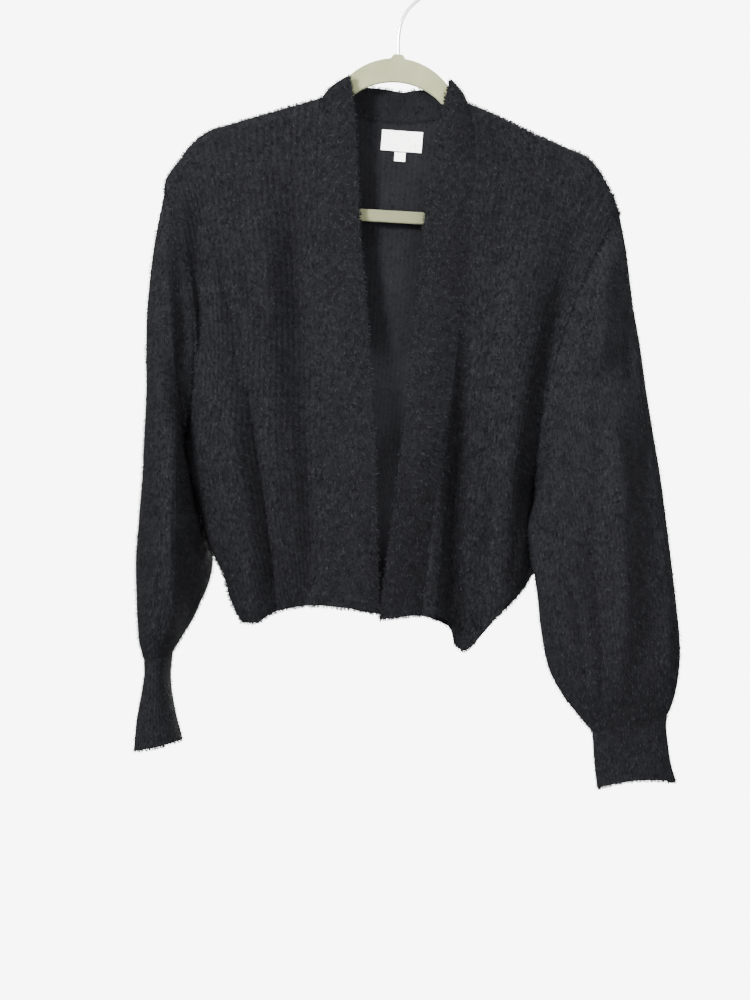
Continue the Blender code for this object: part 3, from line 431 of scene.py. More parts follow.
# Stage
WORLD_COLOUR = (0.93, 0.93, 0.925, 1)
WORLD_STRENGTH = 2.1
BACKDROP_STRENGTH = 8.5  # as the camera sees it, over-exposed in the photograph
LIGHTS = (
    # name, place, size, power, aimed at, spread in degrees
    ("key", (-1.55, -1.95, 0.5), 0.5, 35.0, (0.22, 0.0, -0.40), 56),
    ("front", (0.95, -2.4, 0.0), 0.7, 62.0, (0.0, 0.0, -0.4), 180),
    ("top", (0.1, -1.0, 1.6), 0.9, 40.0, (0.0, 0.0, -0.4), 180),
    ("rear_left", (-0.5, 2.5, 0.7), 0.8, 9.0, (0.0, 0.0, -0.3), 56),
    ("rear_right", (1.0, 2.4, 0.9), 0.6, 26.0, (0.0, 0.0, -0.3), 48),
    # These two stand for the light that falls through the knit and between the bands
    ("inside_upper", (-0.02, -0.003, -0.44), 0.09, 0.085, (-0.02, 1.0, -0.44), 180),
    ("inside_lower", (-0.03, -0.003, -0.54), 0.09, 0.085, (-0.03, 1.0, -0.54), 180),
)
FLOOR_HALF, FLOOR_Z = 1.3, -1.6
EYE_AT = (-0.031, -2.2, -0.539)
LENS = 79.2
SENSOR = 36


def spline(keys, values, at):
    """Cubic through the rows of values at keys, read at at."""
    keys, values = np.asarray(keys, float), np.asarray(values, float)
    slopes = np.gradient(values, keys, axis=0)
    at = np.clip(np.atleast_1d(np.asarray(at, float)), keys[0], keys[-1])
    i = np.clip(np.searchsorted(keys, at) - 1, 0, len(keys) - 2)
    span = (keys[i + 1] - keys[i])[:, None]
    t = (at - keys[i])[:, None] / span
    return (
        (2 * t**3 - 3 * t**2 + 1) * values[i]
        + (t**3 - 2 * t**2 + t) * span * slopes[i]
        + (3 * t**2 - 2 * t**3) * values[i + 1]
        + (t**3 - t**2) * span * slopes[i + 1]
    )


def running(points):
    """Length of a polyline up to each of its points."""
    steps = np.linalg.norm(np.diff(points, axis=0), axis=1)
    return np.concatenate([[0], np.cumsum(steps)])


def lengths(points):
    """Share of a polyline's length at each of its points."""
    total = running(points)
    return total / total[-1]


def read_rows(at, keys, rows):
    """Rows of values at keys, read at at, straight from one to the next."""
    return np.stack([np.interp(at, keys, column) for column in rows.T], axis=-1)


def along(table, shares):
    """Points at shares of the length of a smooth curve through the rows of a table."""
    points = np.asarray(table, float) * MM
    fine = spline(lengths(points), points, np.linspace(0, 1, SAMPLES))
    return read_rows(shares, lengths(fine), fine)


def unit(vectors):
    return vectors / np.maximum(np.linalg.norm(vectors, axis=-1, keepdims=True), 1e-12)


def smooth(t):
    t = np.clip(t, 0, 1)
    return t * t * (3 - 2 * t)


def ring_point(row, share, back, tuck):
    """Points of a sleeve ring at shares of its front or back half, out end to in end."""
    out_x, out_z, in_x, in_z, y_out, y_front, y_in, y_back, front_at, bow = row
    depth = y_back if back else y_front
    angle = share * math.pi
    first = angle < math.pi / 2
    reach = front_at * (1 - np.cos(angle))
    beyond = front_at - (1 - front_at) * np.cos(angle)
    s = np.where(first, reach, beyond)
    y = np.where(first, y_out, y_in)
    y = y + (depth - y) * np.sin(angle) ** np.where(first, 1, 1 + tuck)
    span_x, span_z = in_x - out_x, in_z - out_z
    bow = math.copysign(bow, -out_x) * 4 * s * (1 - s) / math.hypot(span_x, span_z)
    x = out_x + span_x * s - span_z * bow
    z = out_z + span_z * s + span_x * bow
    return np.stack([x, y, z], axis=-1) * MM


def half_ring(row, shares, back, tuck=0.0):
    """Points at shares of the length of one half of a ring."""
    fine = ring_point(row, np.linspace(0, 1, SAMPLES), back, tuck)
    return read_rows(shares, lengths(fine), fine)


def join_halves(front, back):
    """One ring from its two halves, which both run from out to in."""
    return np.concatenate([front[:-1], back[:0:-1]])


def whole_ring(row, shares, front_tuck=0.0, back_tuck=0.0):
    front = half_ring(row, shares, False, front_tuck)
    return join_halves(front, half_ring(row, shares, True, back_tuck))


def folds_at(folds, x, z):
    """Sum of the folds' heights at points of the hanger's plane."""
    total = np.zeros_like(x)
    for top_x, top_z, mid_x, mid_z, end_x, end_z, half_width, height in folds:
        keys = np.array([end_z, mid_z, top_z]) * MM
        path = spline(keys, np.array([[end_x], [mid_x], [top_x]]) * MM, z.ravel())
        away = (x - path.reshape(x.shape)) / (half_width * MM)
        total += height * MM * np.exp(-(away**2)) * smooth((top_z * MM - z) / FOLD_FADE)
    return total


def creases_at(creases, x, z):
    """Sum of the creases' heights at points of the hanger's plane, with a slight waviness."""
    total = np.zeros_like(x)
    for start_x, start_z, end_x, end_z, sag, half_width, height, power in creases:
        run_x, run_z = (end_x - start_x) * MM, (end_z - start_z) * MM
        length = math.hypot(run_x, run_z)
        from_x, from_z = x - start_x * MM, z - start_z * MM
        share = (from_x * run_x + from_z * run_z) / length**2
        aside = (from_z * run_x - from_x * run_z) / length
        inside = np.clip(share, 0, 1)
        away = (aside - sag * MM * 4 * inside * (1 - inside)) / (half_width * MM)
        away = np.sqrt(away * away + CREASE_ROUND) ** power
        ends = smooth(share / CREASE_ENDS) * smooth((1 - share) / CREASE_ENDS)
        total += height * MM * np.exp(-away) * ends
    for across, up, phase, height in WAVES:
        wave = np.sin(x * math.tau / (across * MM) + phase)
        total += height * MM * wave * np.sin(z * math.tau / (up * MM) + 2 * phase)
    return total


def patch(left, right, bottom, top):
    """Coons patch in (x, z): left and right run up the rows, bottom and top along them."""
    v = BODY_ROWS[:, None, None]
    u = lengths(bottom)[None, :, None] * (1 - v) + lengths(top)[None, :, None] * v
    across = (1 - u) * left[:, None] + u * right[:, None]
    up = (1 - v) * bottom[None] + v * top[None]
    corners = (1 - v) * ((1 - u) * bottom[0] + u * bottom[-1])
    return across + up - (corners + v * ((1 - u) * top[0] + u * top[-1]))


def side_edge(side, ring, back):
    """A body panel's outer edge, hem to shoulder, as (x, y, z) rows: side seam, armhole."""
    seam = along(side, BODY_ROWS[: UNDERARM_ROW + 1] / UNDERARM)
    shares = (1 - BODY_ROWS[UNDERARM_ROW + 1 :]) / (1 - UNDERARM)
    return np.concatenate([seam, half_ring(ring, shares, back)])


def depth_of_rows(column):
    table = np.asarray(DEPTHS, float)
    return (np.interp(BODY_ROWS, table[:, 0], table[:, column]) * MM)[:, None]


def fade_rows(stop, ease):
    """For each row of a panel, 0 from a share of its height upwards and 1 well below it."""
    return smooth((stop - BODY_ROWS) / ease)[:, None]


def from_edge(x, z, column):
    """Distance of a panel's points from the side edge in one of its columns."""
    return np.abs(x - x[:, [column]]) + SIDE_SLANT * np.abs(z - z[:, [column]])


def rounding(distance):
    """0 at a side edge to 1 at full depth, along a quarter circle."""
    reach = np.clip(distance / SIDE_ROUNDING, 0, 1)
    return np.sqrt(1 - (1 - reach) ** 2)


def calm_side(x, z, column):
    """Quiet beside a side edge: close to the armhole, and further in along the side seam."""
    distance = from_edge(x, z, column)
    armhole = smooth((BODY_ROWS - UNDERARM) / ARMHOLE_EASE)[:, None]
    close, wide = smooth(distance / QUIET_ARMHOLE), smooth(distance / QUIET_SEAM)
    return close * armhole + wide * (1 - armhole)


def front_panel(side, ring, seam, hem, shoulder):
    """Middle surface of a front, rows from hem to shoulder, columns from side to band."""
    shares = np.linspace(0, 1, FRONT_COLUMNS)
    edge = side_edge(side, ring, back=False)
    band_edge = along(seam, 1 - BODY_ROWS)
    flat = patch(edge[:, [0, 2]], band_edge, along(hem, shares), along(shoulder, shares))
    x, z = flat[..., 0], flat[..., 1]
    folds = folds_at(FRONT_FOLDS, x, z) * fade_rows(FOLD_STOP, FOLD_EASE)
    out = depth_of_rows(1) + folds
    y = edge[:, 1:2] + (-out - edge[:, 1:2]) * rounding(from_edge(x, z, 0))
    y[-1] = 0
    quiet = calm_side(x, z, 0) * smooth(from_edge(x, z, -1) / QUIET_SEAM)
    y = y - creases_at(CREASES_FRONT, x, z) * quiet * fade_rows(1, CREASE_EASE)
    return np.stack([x, y, z], axis=-1)


def back_panel():
    """Middle surface of the back, rows from hem to shoulders and neck, left to right."""
    side, neck = FRONT_COLUMNS - 1, PER_RIB * RIBS_NECK
    left = side_edge(SIDE_LEFT, SLEEVE_LEFT[0], back=True)
    right = side_edge(SIDE_RIGHT, SLEEVE_RIGHT[0], back=True)
    shares = np.linspace(0, 1, FRONT_COLUMNS)
    neck_edge = along(NECK, np.linspace(0, 1, neck + 1))
    shoulders = along(SHOULDER_LEFT, shares)[:-1], along(SHOULDER_RIGHT, shares)[::-1][1:]
    top = np.concatenate([shoulders[0], neck_edge[:, [0, 2]], shoulders[1]])
    flat = patch(left[:, [0, 2]], right[:, [0, 2]], along(HEM_BACK, lengths(top)), top)
    x, z = flat[..., 0], flat[..., 1]
    plain = depth_of_rows(2)
    out = plain + folds_at(BACK_FOLDS, x, z) * fade_rows(FOLD_STOP, FOLD_EASE)
    near = np.clip((BODY_ROWS - (1 - NECK_REACH)) / NECK_REACH, 0, 1)[:, None] ** 2
    neck_y = np.zeros(x.shape[1])
    neck_y[side : side + neck + 1] = neck_edge[:, 1]
    out = out + np.maximum(neck_y[None] - plain, 0) * near
    from_left, from_right = from_edge(x, z, 0), from_edge(x, z, -1)
    y = left[:, 1:2] + (out - left[:, 1:2]) * rounding(from_left)
    right_y = right[:, 1:2] + (out - right[:, 1:2]) * rounding(from_right)
    y = np.where(from_right < from_left, right_y, y)
    y[-1] = neck_y
    quiet = calm_side(x, z, 0) * calm_side(x, z, -1) * fade_rows(1, CREASE_EASE)
    y = y + creases_at(CREASES_BACK, x, z) * quiet
    return np.stack([x, y, z], axis=-1)


def normals_of(points, closed=False):
    """Unit normals of a grid of points, before any is shared at a seam."""
    if closed:
        around = np.roll(points, -1, axis=1) - np.roll(points, 1, axis=1)
    else:
        around = np.gradient(points, axis=1)
    return unit(np.cross(around, np.gradient(points, axis=0)))


def share_normals(first, second):
    """Gives two edges that are sewn together one normal at each point."""
    mean = unit(first + second)
    first[...] = mean
    second[...] = mean


def turn_at_armhole(edge, normals):
    """Squares a panel's normals along its armhole to the opening's axis, as the sleeve's are.
    edge and normals run from hem to shoulder."""
    down = unit(edge[UNDERARM_ROW] - edge[-1])
    axis = unit(np.cross(down, (0, 1, 0)))
    hole = normals[UNDERARM_ROW + 1 : -1]
    hole[...] = unit(hole - (hole @ axis)[:, None] * axis)
    normals[UNDERARM_ROW] = unit(normals[UNDERARM_ROW] + UNDERARM_TURN * down)


def ease_normals(normals, column):
    """Turns a panel's normals gradually towards those of an edge column beside them."""
    step = 1 if column == 0 else -1
    for k in range(1, PER_RIB):
        share = smooth(np.array(1 - k / PER_RIB))
        at = column + step * k
        normals[:, at] = unit(normals[:, at] * (1 - share) + normals[:, column] * share)


def pull_back(edge, normals, inner, gap):
    """Moves an edge into its own piece, square to the seam and along the cloth."""
    tangent = unit(np.gradient(edge, axis=0))
    aside = unit(np.cross(tangent, normals))
    towards = np.sign(np.sum(aside * (inner - edge), axis=-1, keepdims=True))
    return edge + aside * towards * gap / 2


def pull_side(sewn, plain, rows, column, normals, gap):
    """Does that to some rows of a panel's side edge."""
    edge, inner = plain[rows, column], plain[rows, 1 if column == 0 else -2]
    sewn[rows, column] += pull_back(edge, normals, inner, gap) - edge


def outward(points, normals):
    """Turns a tube's normals away from its axis."""
    away = points - points.mean(axis=1, keepdims=True)
    return normals if (away * normals).sum() > 0 else -normals


def flat_rim(points, normals, row, gap, inner_row):
    """Puts a tube's end ring square to its own plane and draws it back by half the gap."""
    ring = points[row]
    centre = ring.mean(axis=0)
    axis = np.linalg.svd(ring - centre)[2][2]
    normals[row] = unit(normals[row] - (normals[row] @ axis)[:, None] * axis)
    if (points[inner_row].mean(axis=0) - centre) @ axis < 0:
        axis = -axis
    points[row] = ring + axis * gap / 2


def link_object(name, data):
    made = bpy.data.objects.new(name, data)
    bpy.context.scene.collection.objects.link(made)
    return made


def add_object(name, data, looks):
    """A piece of the cardigan or its hanger, which all ride on the root."""
    for look in looks:
        data.materials.append(look)
    made = link_object(name, data)
    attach(made, "root")
    return made


def grid_faces(first, rows, columns, closed=False):
    """Quads of a grid whose points are numbered from first, row by row."""
    faces = []
    for low in range(first, first + (rows - 1) * columns, columns):
        for j in range(columns if closed else columns - 1):
            k = (j + 1) % columns
            faces.append((low + j, low + k, low + columns + k, low + columns + j))
    return faces


def fill_mesh(mesh, built, sharp=None):
    """Writes a bmesh to a mesh, its faces turned outwards and sharp above an angle."""
    bmesh.ops.recalc_face_normals(built, faces=built.faces)
    built.to_mesh(mesh)
    built.free()
    mesh.shade_smooth()
    if sharp:
        mesh.set_sharp_from_angle(angle=math.radians(sharp))


def wall_mesh(name, outer, inner, closed):
    """Closed wall between an outer grid and an inner one with a column for each rib."""
    rows, columns = outer.shape[:2]
    inner_columns = inner.shape[1]
    first = rows * columns
    faces = grid_faces(0, rows, columns, closed)
    faces += [(a, d, c, b) for a, b, c, d in grid_faces(first, rows, inner_columns, closed)]
    for i in (0, rows - 1):
        start = first + i * inner_columns
        for j in range(inner_columns if closed else inner_columns - 1):
            edge = [i * columns + (PER_RIB * j + n) % columns for n in range(PER_RIB + 1)]
            faces.append((start + j, *edge, start + (j + 1) % inner_columns))
    if not closed:
        for i in range(rows - 1):
            for j, k in ((0, 0), (columns - 1, inner_columns - 1)):
                low = first + i * inner_columns + k
                outside = i * columns + j
                faces.append((outside, outside + columns, low + inner_columns, low))
    mesh = bpy.data.meshes.new(name)
    points = np.concatenate([outer.reshape(-1, 3), inner.reshape(-1, 3)])
    mesh.from_pydata(points.tolist(), [], faces)
    built = bmesh.new()
    built.from_mesh(mesh)
    fill_mesh(mesh, built, CLOTH_SHARP)
    add_knit_map(mesh, outer, inner_columns, closed)
    return mesh


def add_knit_map(mesh, outer, inner_columns, closed):
    """UV map in ribs across and in short lengths along, for the knit's pattern."""
    steps = np.linalg.norm(np.diff(outer, axis=0), axis=-1).mean(axis=1)
    v = np.concatenate([[0], np.cumsum(steps)]) / PATTERN_LENGTH
    columns = outer.shape[1]
    u_out = np.tile(np.arange(columns) / PER_RIB, len(v))
    u = np.concatenate([u_out, np.tile(np.arange(inner_columns), len(v))])
    v = np.concatenate([np.repeat(v, columns), np.repeat(v, inner_columns)])
    index = np.empty(len(mesh.loops), np.int32)
    mesh.loops.foreach_get("vertex_index", index)
    starts = np.empty(len(mesh.polygons), np.int32)
    mesh.polygons.foreach_get("loop_start", starts)
    corner_u, corner_v = u[index], v[index]
    if closed:
        total = columns / PER_RIB
        spread = np.maximum.reduceat(corner_u, starts) - np.minimum.reduceat(corner_u, starts)
        wraps = np.repeat(spread > total / 2, np.diff(np.append(starts, len(index))))
        corner_u = np.where(wraps & (corner_u < total / 2), corner_u + total, corner_u)
    layer = mesh.uv_layers.new(name="knit")
    layer.uv.foreach_set("vector", np.stack([corner_u, corner_v], axis=-1).ravel())


# By name, what shows of each piece of cloth: points, their normals, and whether it is a tube
skins = {}


def add_cloth(node, points, normals, look, wall=WALL, rib=RIB_HEIGHT, closed=False, fade=0):
    """One knitted piece: a wall round its middle surface, ribs raised on the outside."""
    relief = np.resize(RIB_PROFILE, points.shape[1])[None] * rib
    if fade:
        relief = relief * smooth(np.arange(len(points)) / fade)[:, None]
    outer = points + normals * (wall / 2 + relief)[..., None]
    inner = (points - normals * wall / 2)[:, ::PER_RIB]
    name = f"knit_{node}"
    made = add_object(name, wall_mesh(name, outer, inner, closed), [look])
    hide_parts(node)
    skins[node] = (outer, normals, closed)
    skins[f"{node}_inside"] = (inner, -normals[:, ::PER_RIB], closed)


def body_panels():
    """Middle surfaces of the two fronts and their normals, then those of the back."""
    fronts = (
        front_panel(SIDE_LEFT, SLEEVE_LEFT[0], BAND_SEAM_LEFT, HEM_LEFT, SHOULDER_LEFT),
        front_panel(SIDE_RIGHT, SLEEVE_RIGHT[0], BAND_SEAM_RIGHT, HEM_RIGHT, SHOULDER_RIGHT),
    )
    back = back_panel()
    normals = [normals_of(fronts[0]), -normals_of(fronts[1])]
    back_normals = -normals_of(back)
    share_normals(normals[0][-1], back_normals[-1, :FRONT_COLUMNS])
    share_normals(normals[1][-1], back_normals[-1, ::-1][:FRONT_COLUMNS])
    seam = slice(0, UNDERARM_ROW + 1)
    for front, own, column in zip(fronts, normals, (0, -1)):
        share_normals(own[seam, 0], back_normals[seam, column])
        turn_at_armhole(front[:, 0], own[:, 0])
        turn_at_armhole(back[:, column], back_normals[:, column])
        ease_normals(own, 0)
        ease_normals(back_normals, column)
    return fronts, normals, back, back_normals


def sew_body(body, look):
    """Draws the body pieces back from their seams and adds them."""
    fronts, normals, back, back_normals = body
    top, side = slice(UNDERARM_ROW, None), slice(0, UNDERARM_ROW + 1)
    sewn_back = back.copy()
    for plain, own, name, column in zip(fronts, normals, ("left", "right"), (0, -1)):
        front = plain.copy()
        pull_side(front, plain, side, 0, own[side, 0], SEAM_GAP)
        pull_side(sewn_back, back, side, column, own[side, 0], SEAM_GAP)
        pull_side(front, plain, top, 0, own[top, 0], ARMHOLE_GAP)
        pull_side(sewn_back, back, top, column, back_normals[top, column], ARMHOLE_GAP)
        front[-1, :, 1] -= SEAM_GAP / 2
        front[:, -1] = pull_back(front[:, -1], own[:, -1], plain[:, -2], BAND_GAP)
        add_cloth(f"front_{name}", front, own, look)
    sewn_back[-1, :FRONT_COLUMNS, 1] += SEAM_GAP / 2
    sewn_back[-1, -FRONT_COLUMNS:, 1] += SEAM_GAP / 2
    neck = slice(FRONT_COLUMNS - 1, len(back[-1]) - FRONT_COLUMNS + 1)
    sewn_back[-1, neck] = pull_back(
        sewn_back[-1, neck], back_normals[-1, neck], back[-2, neck], BAND_GAP
    )
    add_cloth("back", sewn_back, back_normals, look)


def band(seam, seam_normals, edge_table, neck_seam, neck_normals, neck_edge, outwards):
    """Middle surface and normals of one half of the band, hem to centre back."""
    table = np.asarray(edge_table, float)[::-1] * MM
    read = spline(table[:, 0], table[:, 1:], seam[:, 2])
    front_edge = np.stack([read[:, 0], seam[:, 1] - read[:, 2], read[:, 1]], axis=-1)
    back_edge = along(neck_edge, np.linspace(0, 1, len(neck_seam)))
    seams = np.concatenate([seam, neck_seam[1:]])
    edges = np.concatenate([front_edge, back_edge[1:]])
    shares = np.linspace(0, 1, BAND_COLUMNS + 1)[None, :, None]
    points = seams[:, None] * (1 - shares) + edges[:, None] * shares
    normals = normals_of(points) * outwards
    points = points + normals * np.sin(shares * math.pi) * COLLAR_ROLL
    normals = normals_of(points) * outwards
    normals[:, 0] = np.concatenate([seam_normals, neck_normals[1:]])
    return points, normals


def add_bands(body, look):
    """The two halves of the front band, joined at the centre back of the collar."""
    fronts, normals, back, back_normals = body
    last = back.shape[1] - 1
    side = FRONT_COLUMNS - 1
    middle = side + PER_RIB * RIBS_NECK // 2
    both = np.concatenate([back[-1], back_normals[-1]], axis=1)
    sides = (
        ("left", 0, EDGE_LEFT, EDGE_NECK_LEFT, side, 1),
        ("right", 1, EDGE_RIGHT, EDGE_NECK_RIGHT, last - side, -1),
    )
    for name, k, edge_table, neck_edge, start, outwards in sides:
        seam, seam_normals = fronts[k][:, -1], normals[k][:, -1]
        at = start + (middle - start) * np.linspace(0, 1, NECK_STATIONS + 1)
        read = read_rows(at, np.arange(last + 1), both)
        neck = (read[:, :3], unit(read[:, 3:]), neck_edge)
        points, own = band(seam, seam_normals, edge_table, *neck, outwards)
        own[len(seam) - 1, 0] = unit(seam_normals[-1] + read[0, 3:])
        points[:, 0] = pull_back(points[:, 0], own[:, 0], points[:, 1], BAND_GAP)
        points[-1, :, 0] -= outwards * SEAM_GAP / 2
        own[-1, :, 0] = 0
        add_cloth(f"band_{name}", points, unit(own), look, wall=BAND_WALL, rib=0)


def ring_rows(table, per_row):
    """A sleeve's table read at finer steps, with the tuck of each ring."""
    last = len(table) - 1
    steps = np.linspace(0, last, last * per_row + 1)
    rows = spline(np.arange(len(table)), table, steps)
    return rows, [TUCK * min(1, s / TUCK_ROWS) * (1 - s / last) for s in steps]


def sleeve_creases(table, points):
    """Heights of a sleeve's creases at its points: front and back halves have their own."""
    turn = np.sin(np.arange(points.shape[1]) / points.shape[1] * math.tau) * SLEEVE_TURN
    total = 0
    for side in (1, -1):
        own = [row[:8] for row in table if row[8] == side]
        total = total + creases_at(own, points[..., 0], points[..., 2]) * smooth(side * turn)
    return total


def sleeve(table, creases, front_edge, back_edge, tucked_back):
    """Middle surface and normals of a sleeve. Its first ring lies on the panels' edges,
    given as (points, normals) from shoulder to underarm."""
    shares = np.linspace(0, 1, PER_RIB * RIBS_SLEEVE // 2 + 1)
    joined = join_halves(
        *(
            read_rows(shares, lengths(edge[0]), np.concatenate(edge, axis=1))
            for edge in (front_edge, back_edge)
        )
    )
    rings = [joined[:, :3]]
    for row, tuck in list(zip(*ring_rows(table, RINGS_PER_ROW)))[1:]:
        rings.append(whole_ring(row, shares, *((0, tuck) if tucked_back else (tuck, 0))))
    points = np.stack(rings)
    normals = outward(points, normals_of(points, closed=True))
    place = np.linspace(0, 1, len(points))
    ends = smooth(place / SLEEVE_EASE[0]) * smooth((1 - place) / SLEEVE_EASE[1])
    points = points + normals * (sleeve_creases(creases, points) * ends[:, None])[..., None]
    normals = outward(points, normals_of(points, closed=True))
    normals[0] = unit(joined[:, 3:])
    for k in range(1, RINGS_PER_ROW):
        share = smooth(np.array(1 - k / RINGS_PER_ROW))
        normals[k] = unit(normals[k] * (1 - share) + normals[0] * share)
    return points, normals


def add_cuff(name, table, look):
    """Ribbed tube from the sleeve's end ring to its open mouth."""
    shares = np.linspace(0, 1, PER_RIB * RIBS_CUFF // 2 + 1)
    tube = np.stack([whole_ring(row, shares) for row in ring_rows(table, CUFF_RINGS_PER_ROW)[0]])
    across = np.sin(np.pi * shares)
    down = np.linspace(0, 1, len(tube))[:, None]
    tube[:, :, 2] += MOUTH_RISE[name] * down**3 * join_halves(across, across)
    normals = outward(tube, normals_of(tube, closed=True))
    flat_rim(tube, normals, 0, CUFF_GAP, 1)
    add_cloth(f"cuff_{name}", tube, normals, look, closed=True)


def add_sleeves(body, look, cuff_look):
    fronts, normals, back, back_normals = body
    top = slice(None, UNDERARM_ROW - 1, -1)
    sides = (
        ("left", 0, 0, SLEEVE_LEFT, CUFF_LEFT, CREASES_SLEEVE_LEFT),
        ("right", 1, -1, SLEEVE_RIGHT, CUFF_RIGHT, CREASES_SLEEVE_RIGHT),
    )
    for name, k, column, table, cuff_table, creases in sides:
        front_edge = (fronts[k][top, 0], normals[k][top, 0])
        back_edge = (back[top, column], back_normals[top, column])
        points, own = sleeve(table, creases, front_edge, back_edge, name == "right")
        tangent = unit(np.roll(points[0], -1, axis=0) - np.roll(points[0], 1, axis=0))
        aside = unit(np.cross(tangent, own[0]))
        towards = np.sign(np.sum(aside * (points[1] - points[0]), axis=-1, keepdims=True))
        flat_rim(points, own, -1, CUFF_GAP, -2)
        points[0] = points[0] + aside * towards * ARMHOLE_GAP / 2
        add_cloth(f"sleeve_{name}", points, own, look, closed=True, fade=HEAD_ROWS)
        add_cuff(name, cuff_table, cuff_look)


def blades(name, looks, roots, up, lie, rng, fibre, tone):
    """Short bent fibres as one mesh, four points each, in three tones."""
    length, width, (least, most), _, shares = fibre
    count = len(roots)
    flat = np.cross(up, lie)
    raised = least + (most - least) * rng.random((count, 1)) ** 2
    stray = rng.random((count, 1)) < STRAY_SHARE
    raised = np.radians(np.where(stray, rng.uniform(*STRAY_LIFT, (count, 1)), raised))
    fallen = raised * rng.uniform(*FALL, (count, 1))
    size = rng.uniform(*length, (count, 1)) * MM
    half = width / 2 * MM * rng.uniform(*WIDTH_RANGE, (count, 1))
    half = half * np.where(stray, STRAY_WIDTH, 1)
    bend = roots + (lie * np.cos(raised) + up * np.sin(raised)) * size * 0.5
    tip = bend + (lie * np.cos(fallen) + up * np.sin(fallen)) * size * 0.5
    corners = np.stack([roots, bend + flat * half, tip, bend - flat * half], axis=1)
    order = np.arange(count)[:, None] * 4 + np.array([0, 1, 3, 1, 2, 3])[None]
    mesh = bpy.data.meshes.new(name)
    mesh.vertices.add(count * 4)
    mesh.vertices.foreach_set("co", corners.astype(np.float32).ravel())
    mesh.loops.add(count * 6)
    mesh.loops.foreach_set("vertex_index", order.astype(np.int32).ravel())
    mesh.polygons.add(count * 2)
    mesh.polygons.foreach_set("loop_start", np.arange(count * 2, dtype=np.int32) * 3)
    slots = np.searchsorted(np.quantile(tone, shares), tone)
    slots = np.where(stray[:, 0], np.minimum(slots, 1), slots)
    mesh.polygons.foreach_set("material_index", np.repeat(slots, 2).astype(np.int32))
    mesh.update(calc_edges=True)
    add_object(name, mesh, looks)


def patches(at):
    """Smooth value from 0 to 1 in short upright streaks, about one to a column of stitches."""
    x, y, z = (at / MM).T
    waves = np.sin(x * 1.6 + y * 1.1 + 1.5 * np.sin(z * 0.17)) * 1.3
    waves = waves + np.sin(z * 0.61 + 1.7 * np.sin(x * 0.37)) * 0.8
    waves = waves + np.sin(y * 0.9 + x * 0.53 - z * 0.31) * 0.9
    return waves / 6 + 0.5


def fuzz(skin, looks, seed, count, fibre):
    """Fibres brushed downwards over a grid of points; their tone follows small patches."""
    rng = np.random.default_rng(seed)
    points, normals, closed = skins[skin]
    if closed:
        points = np.concatenate([points, points[:, :1]], axis=1)
        normals = np.concatenate([normals, normals[:, :1]], axis=1)
    a, b, c, d = points[:-1, :-1], points[:-1, 1:], points[1:, 1:], points[1:, :-1]
    area = np.linalg.norm(np.cross(c - a, d - b), axis=-1).ravel()
    reach = np.cumsum(area) / area.sum()
    pick = np.searchsorted(reach, rng.random(count))
    i, j = np.divmod(np.minimum(pick, len(area) - 1), points.shape[1] - 1)
    s, t = rng.random((count, 1)), rng.random((count, 1))
    at = (a[i, j] * (1 - s) + b[i, j] * s) * (1 - t) + (d[i, j] * (1 - s) + c[i, j] * s) * t
    up = unit(normals[i, j] * (1 - t) + normals[i + 1, j] * t)
    down = unit(np.array([0.0, 0.0, -1.0]) - up * -up[:, 2:])
    turn = rng.normal(0, math.radians(fibre[3]), (count, 1))
    lie = down * np.cos(turn) + np.cross(up, down) * np.sin(turn)
    tone = patches(at) * PATCH_SHARE + rng.random(count) * (1 - PATCH_SHARE)
    blades(f"fuzz_{skin}", looks, at - up * ROOT_DEPTH, up, lie, rng, fibre, tone)


def fringe(skin, looks, seed, edge, per_mm, fibre):
    """Fibres that stand out from an edge of a piece, such as a hem or a cuff's mouth."""
    rng = np.random.default_rng(seed)
    points, normals, closed = skins[skin]
    line, beside, up = {
        "hem": (points[0], points[1], normals[0]),
        "mouth": (points[-1], points[-2], normals[-1]),
        "shoulder": (points[-1], points[-2], normals[-1]),
        "free": (points[:, -1], points[:, -2], normals[:, -1]),
        "side": (points[:, 0], points[:, 1], normals[:, 1]),
    }[edge]
    if closed:
        line, beside, up = (np.concatenate([row, row[:1]]) for row in (line, beside, up))
    total = running(line)
    count = int(total[-1] / MM * per_mm)
    where = rng.random(count) * total[-1]
    read = read_rows(where, total, np.concatenate([line, unit(line - beside), up], axis=1))
    up = unit(read[:, 6:])
    lie = unit(read[:, 3:6] + rng.normal(0, math.radians(fibre[3]), (count, 3)))
    lie = unit(lie - up * np.sum(lie * up, axis=-1, keepdims=True))
    roots = read[:, :3] - up * rng.random((count, 1)) * WALL - lie * FRINGE_ROOT
    tone = rng.random(count)
    blades(f"fringe_{skin}_{edge}", looks, roots, up, lie, rng, fibre, tone)


def grid_box(name, layers, cells, look):
    """Closed plate between two layers of points, each a grid of cells across and up."""
    built = bmesh.new()
    made = [[built.verts.new(point) for point in layer] for layer in layers]
    wide, high = cells[0] + 1, cells[1] + 1
    for layer in made:
        for quad in grid_faces(0, high, wide):
            built.faces.new([layer[n] for n in quad])
    rim = [*range(wide), *range(2 * wide - 1, high * wide, wide)]
    rim += [*range(high * wide - 2, (high - 1) * wide - 1, -1)]
    rim += [*range((high - 2) * wide, 0, -wide)]
    for a, b in zip(rim, rim[1:] + rim[:1]):
        built.faces.new((made[0][a], made[0][b], made[1][b], made[1][a]))
    mesh = bpy.data.meshes.new(name)
    fill_mesh(mesh, built, LABEL_SHARP)
    return add_object(name, mesh, [look])


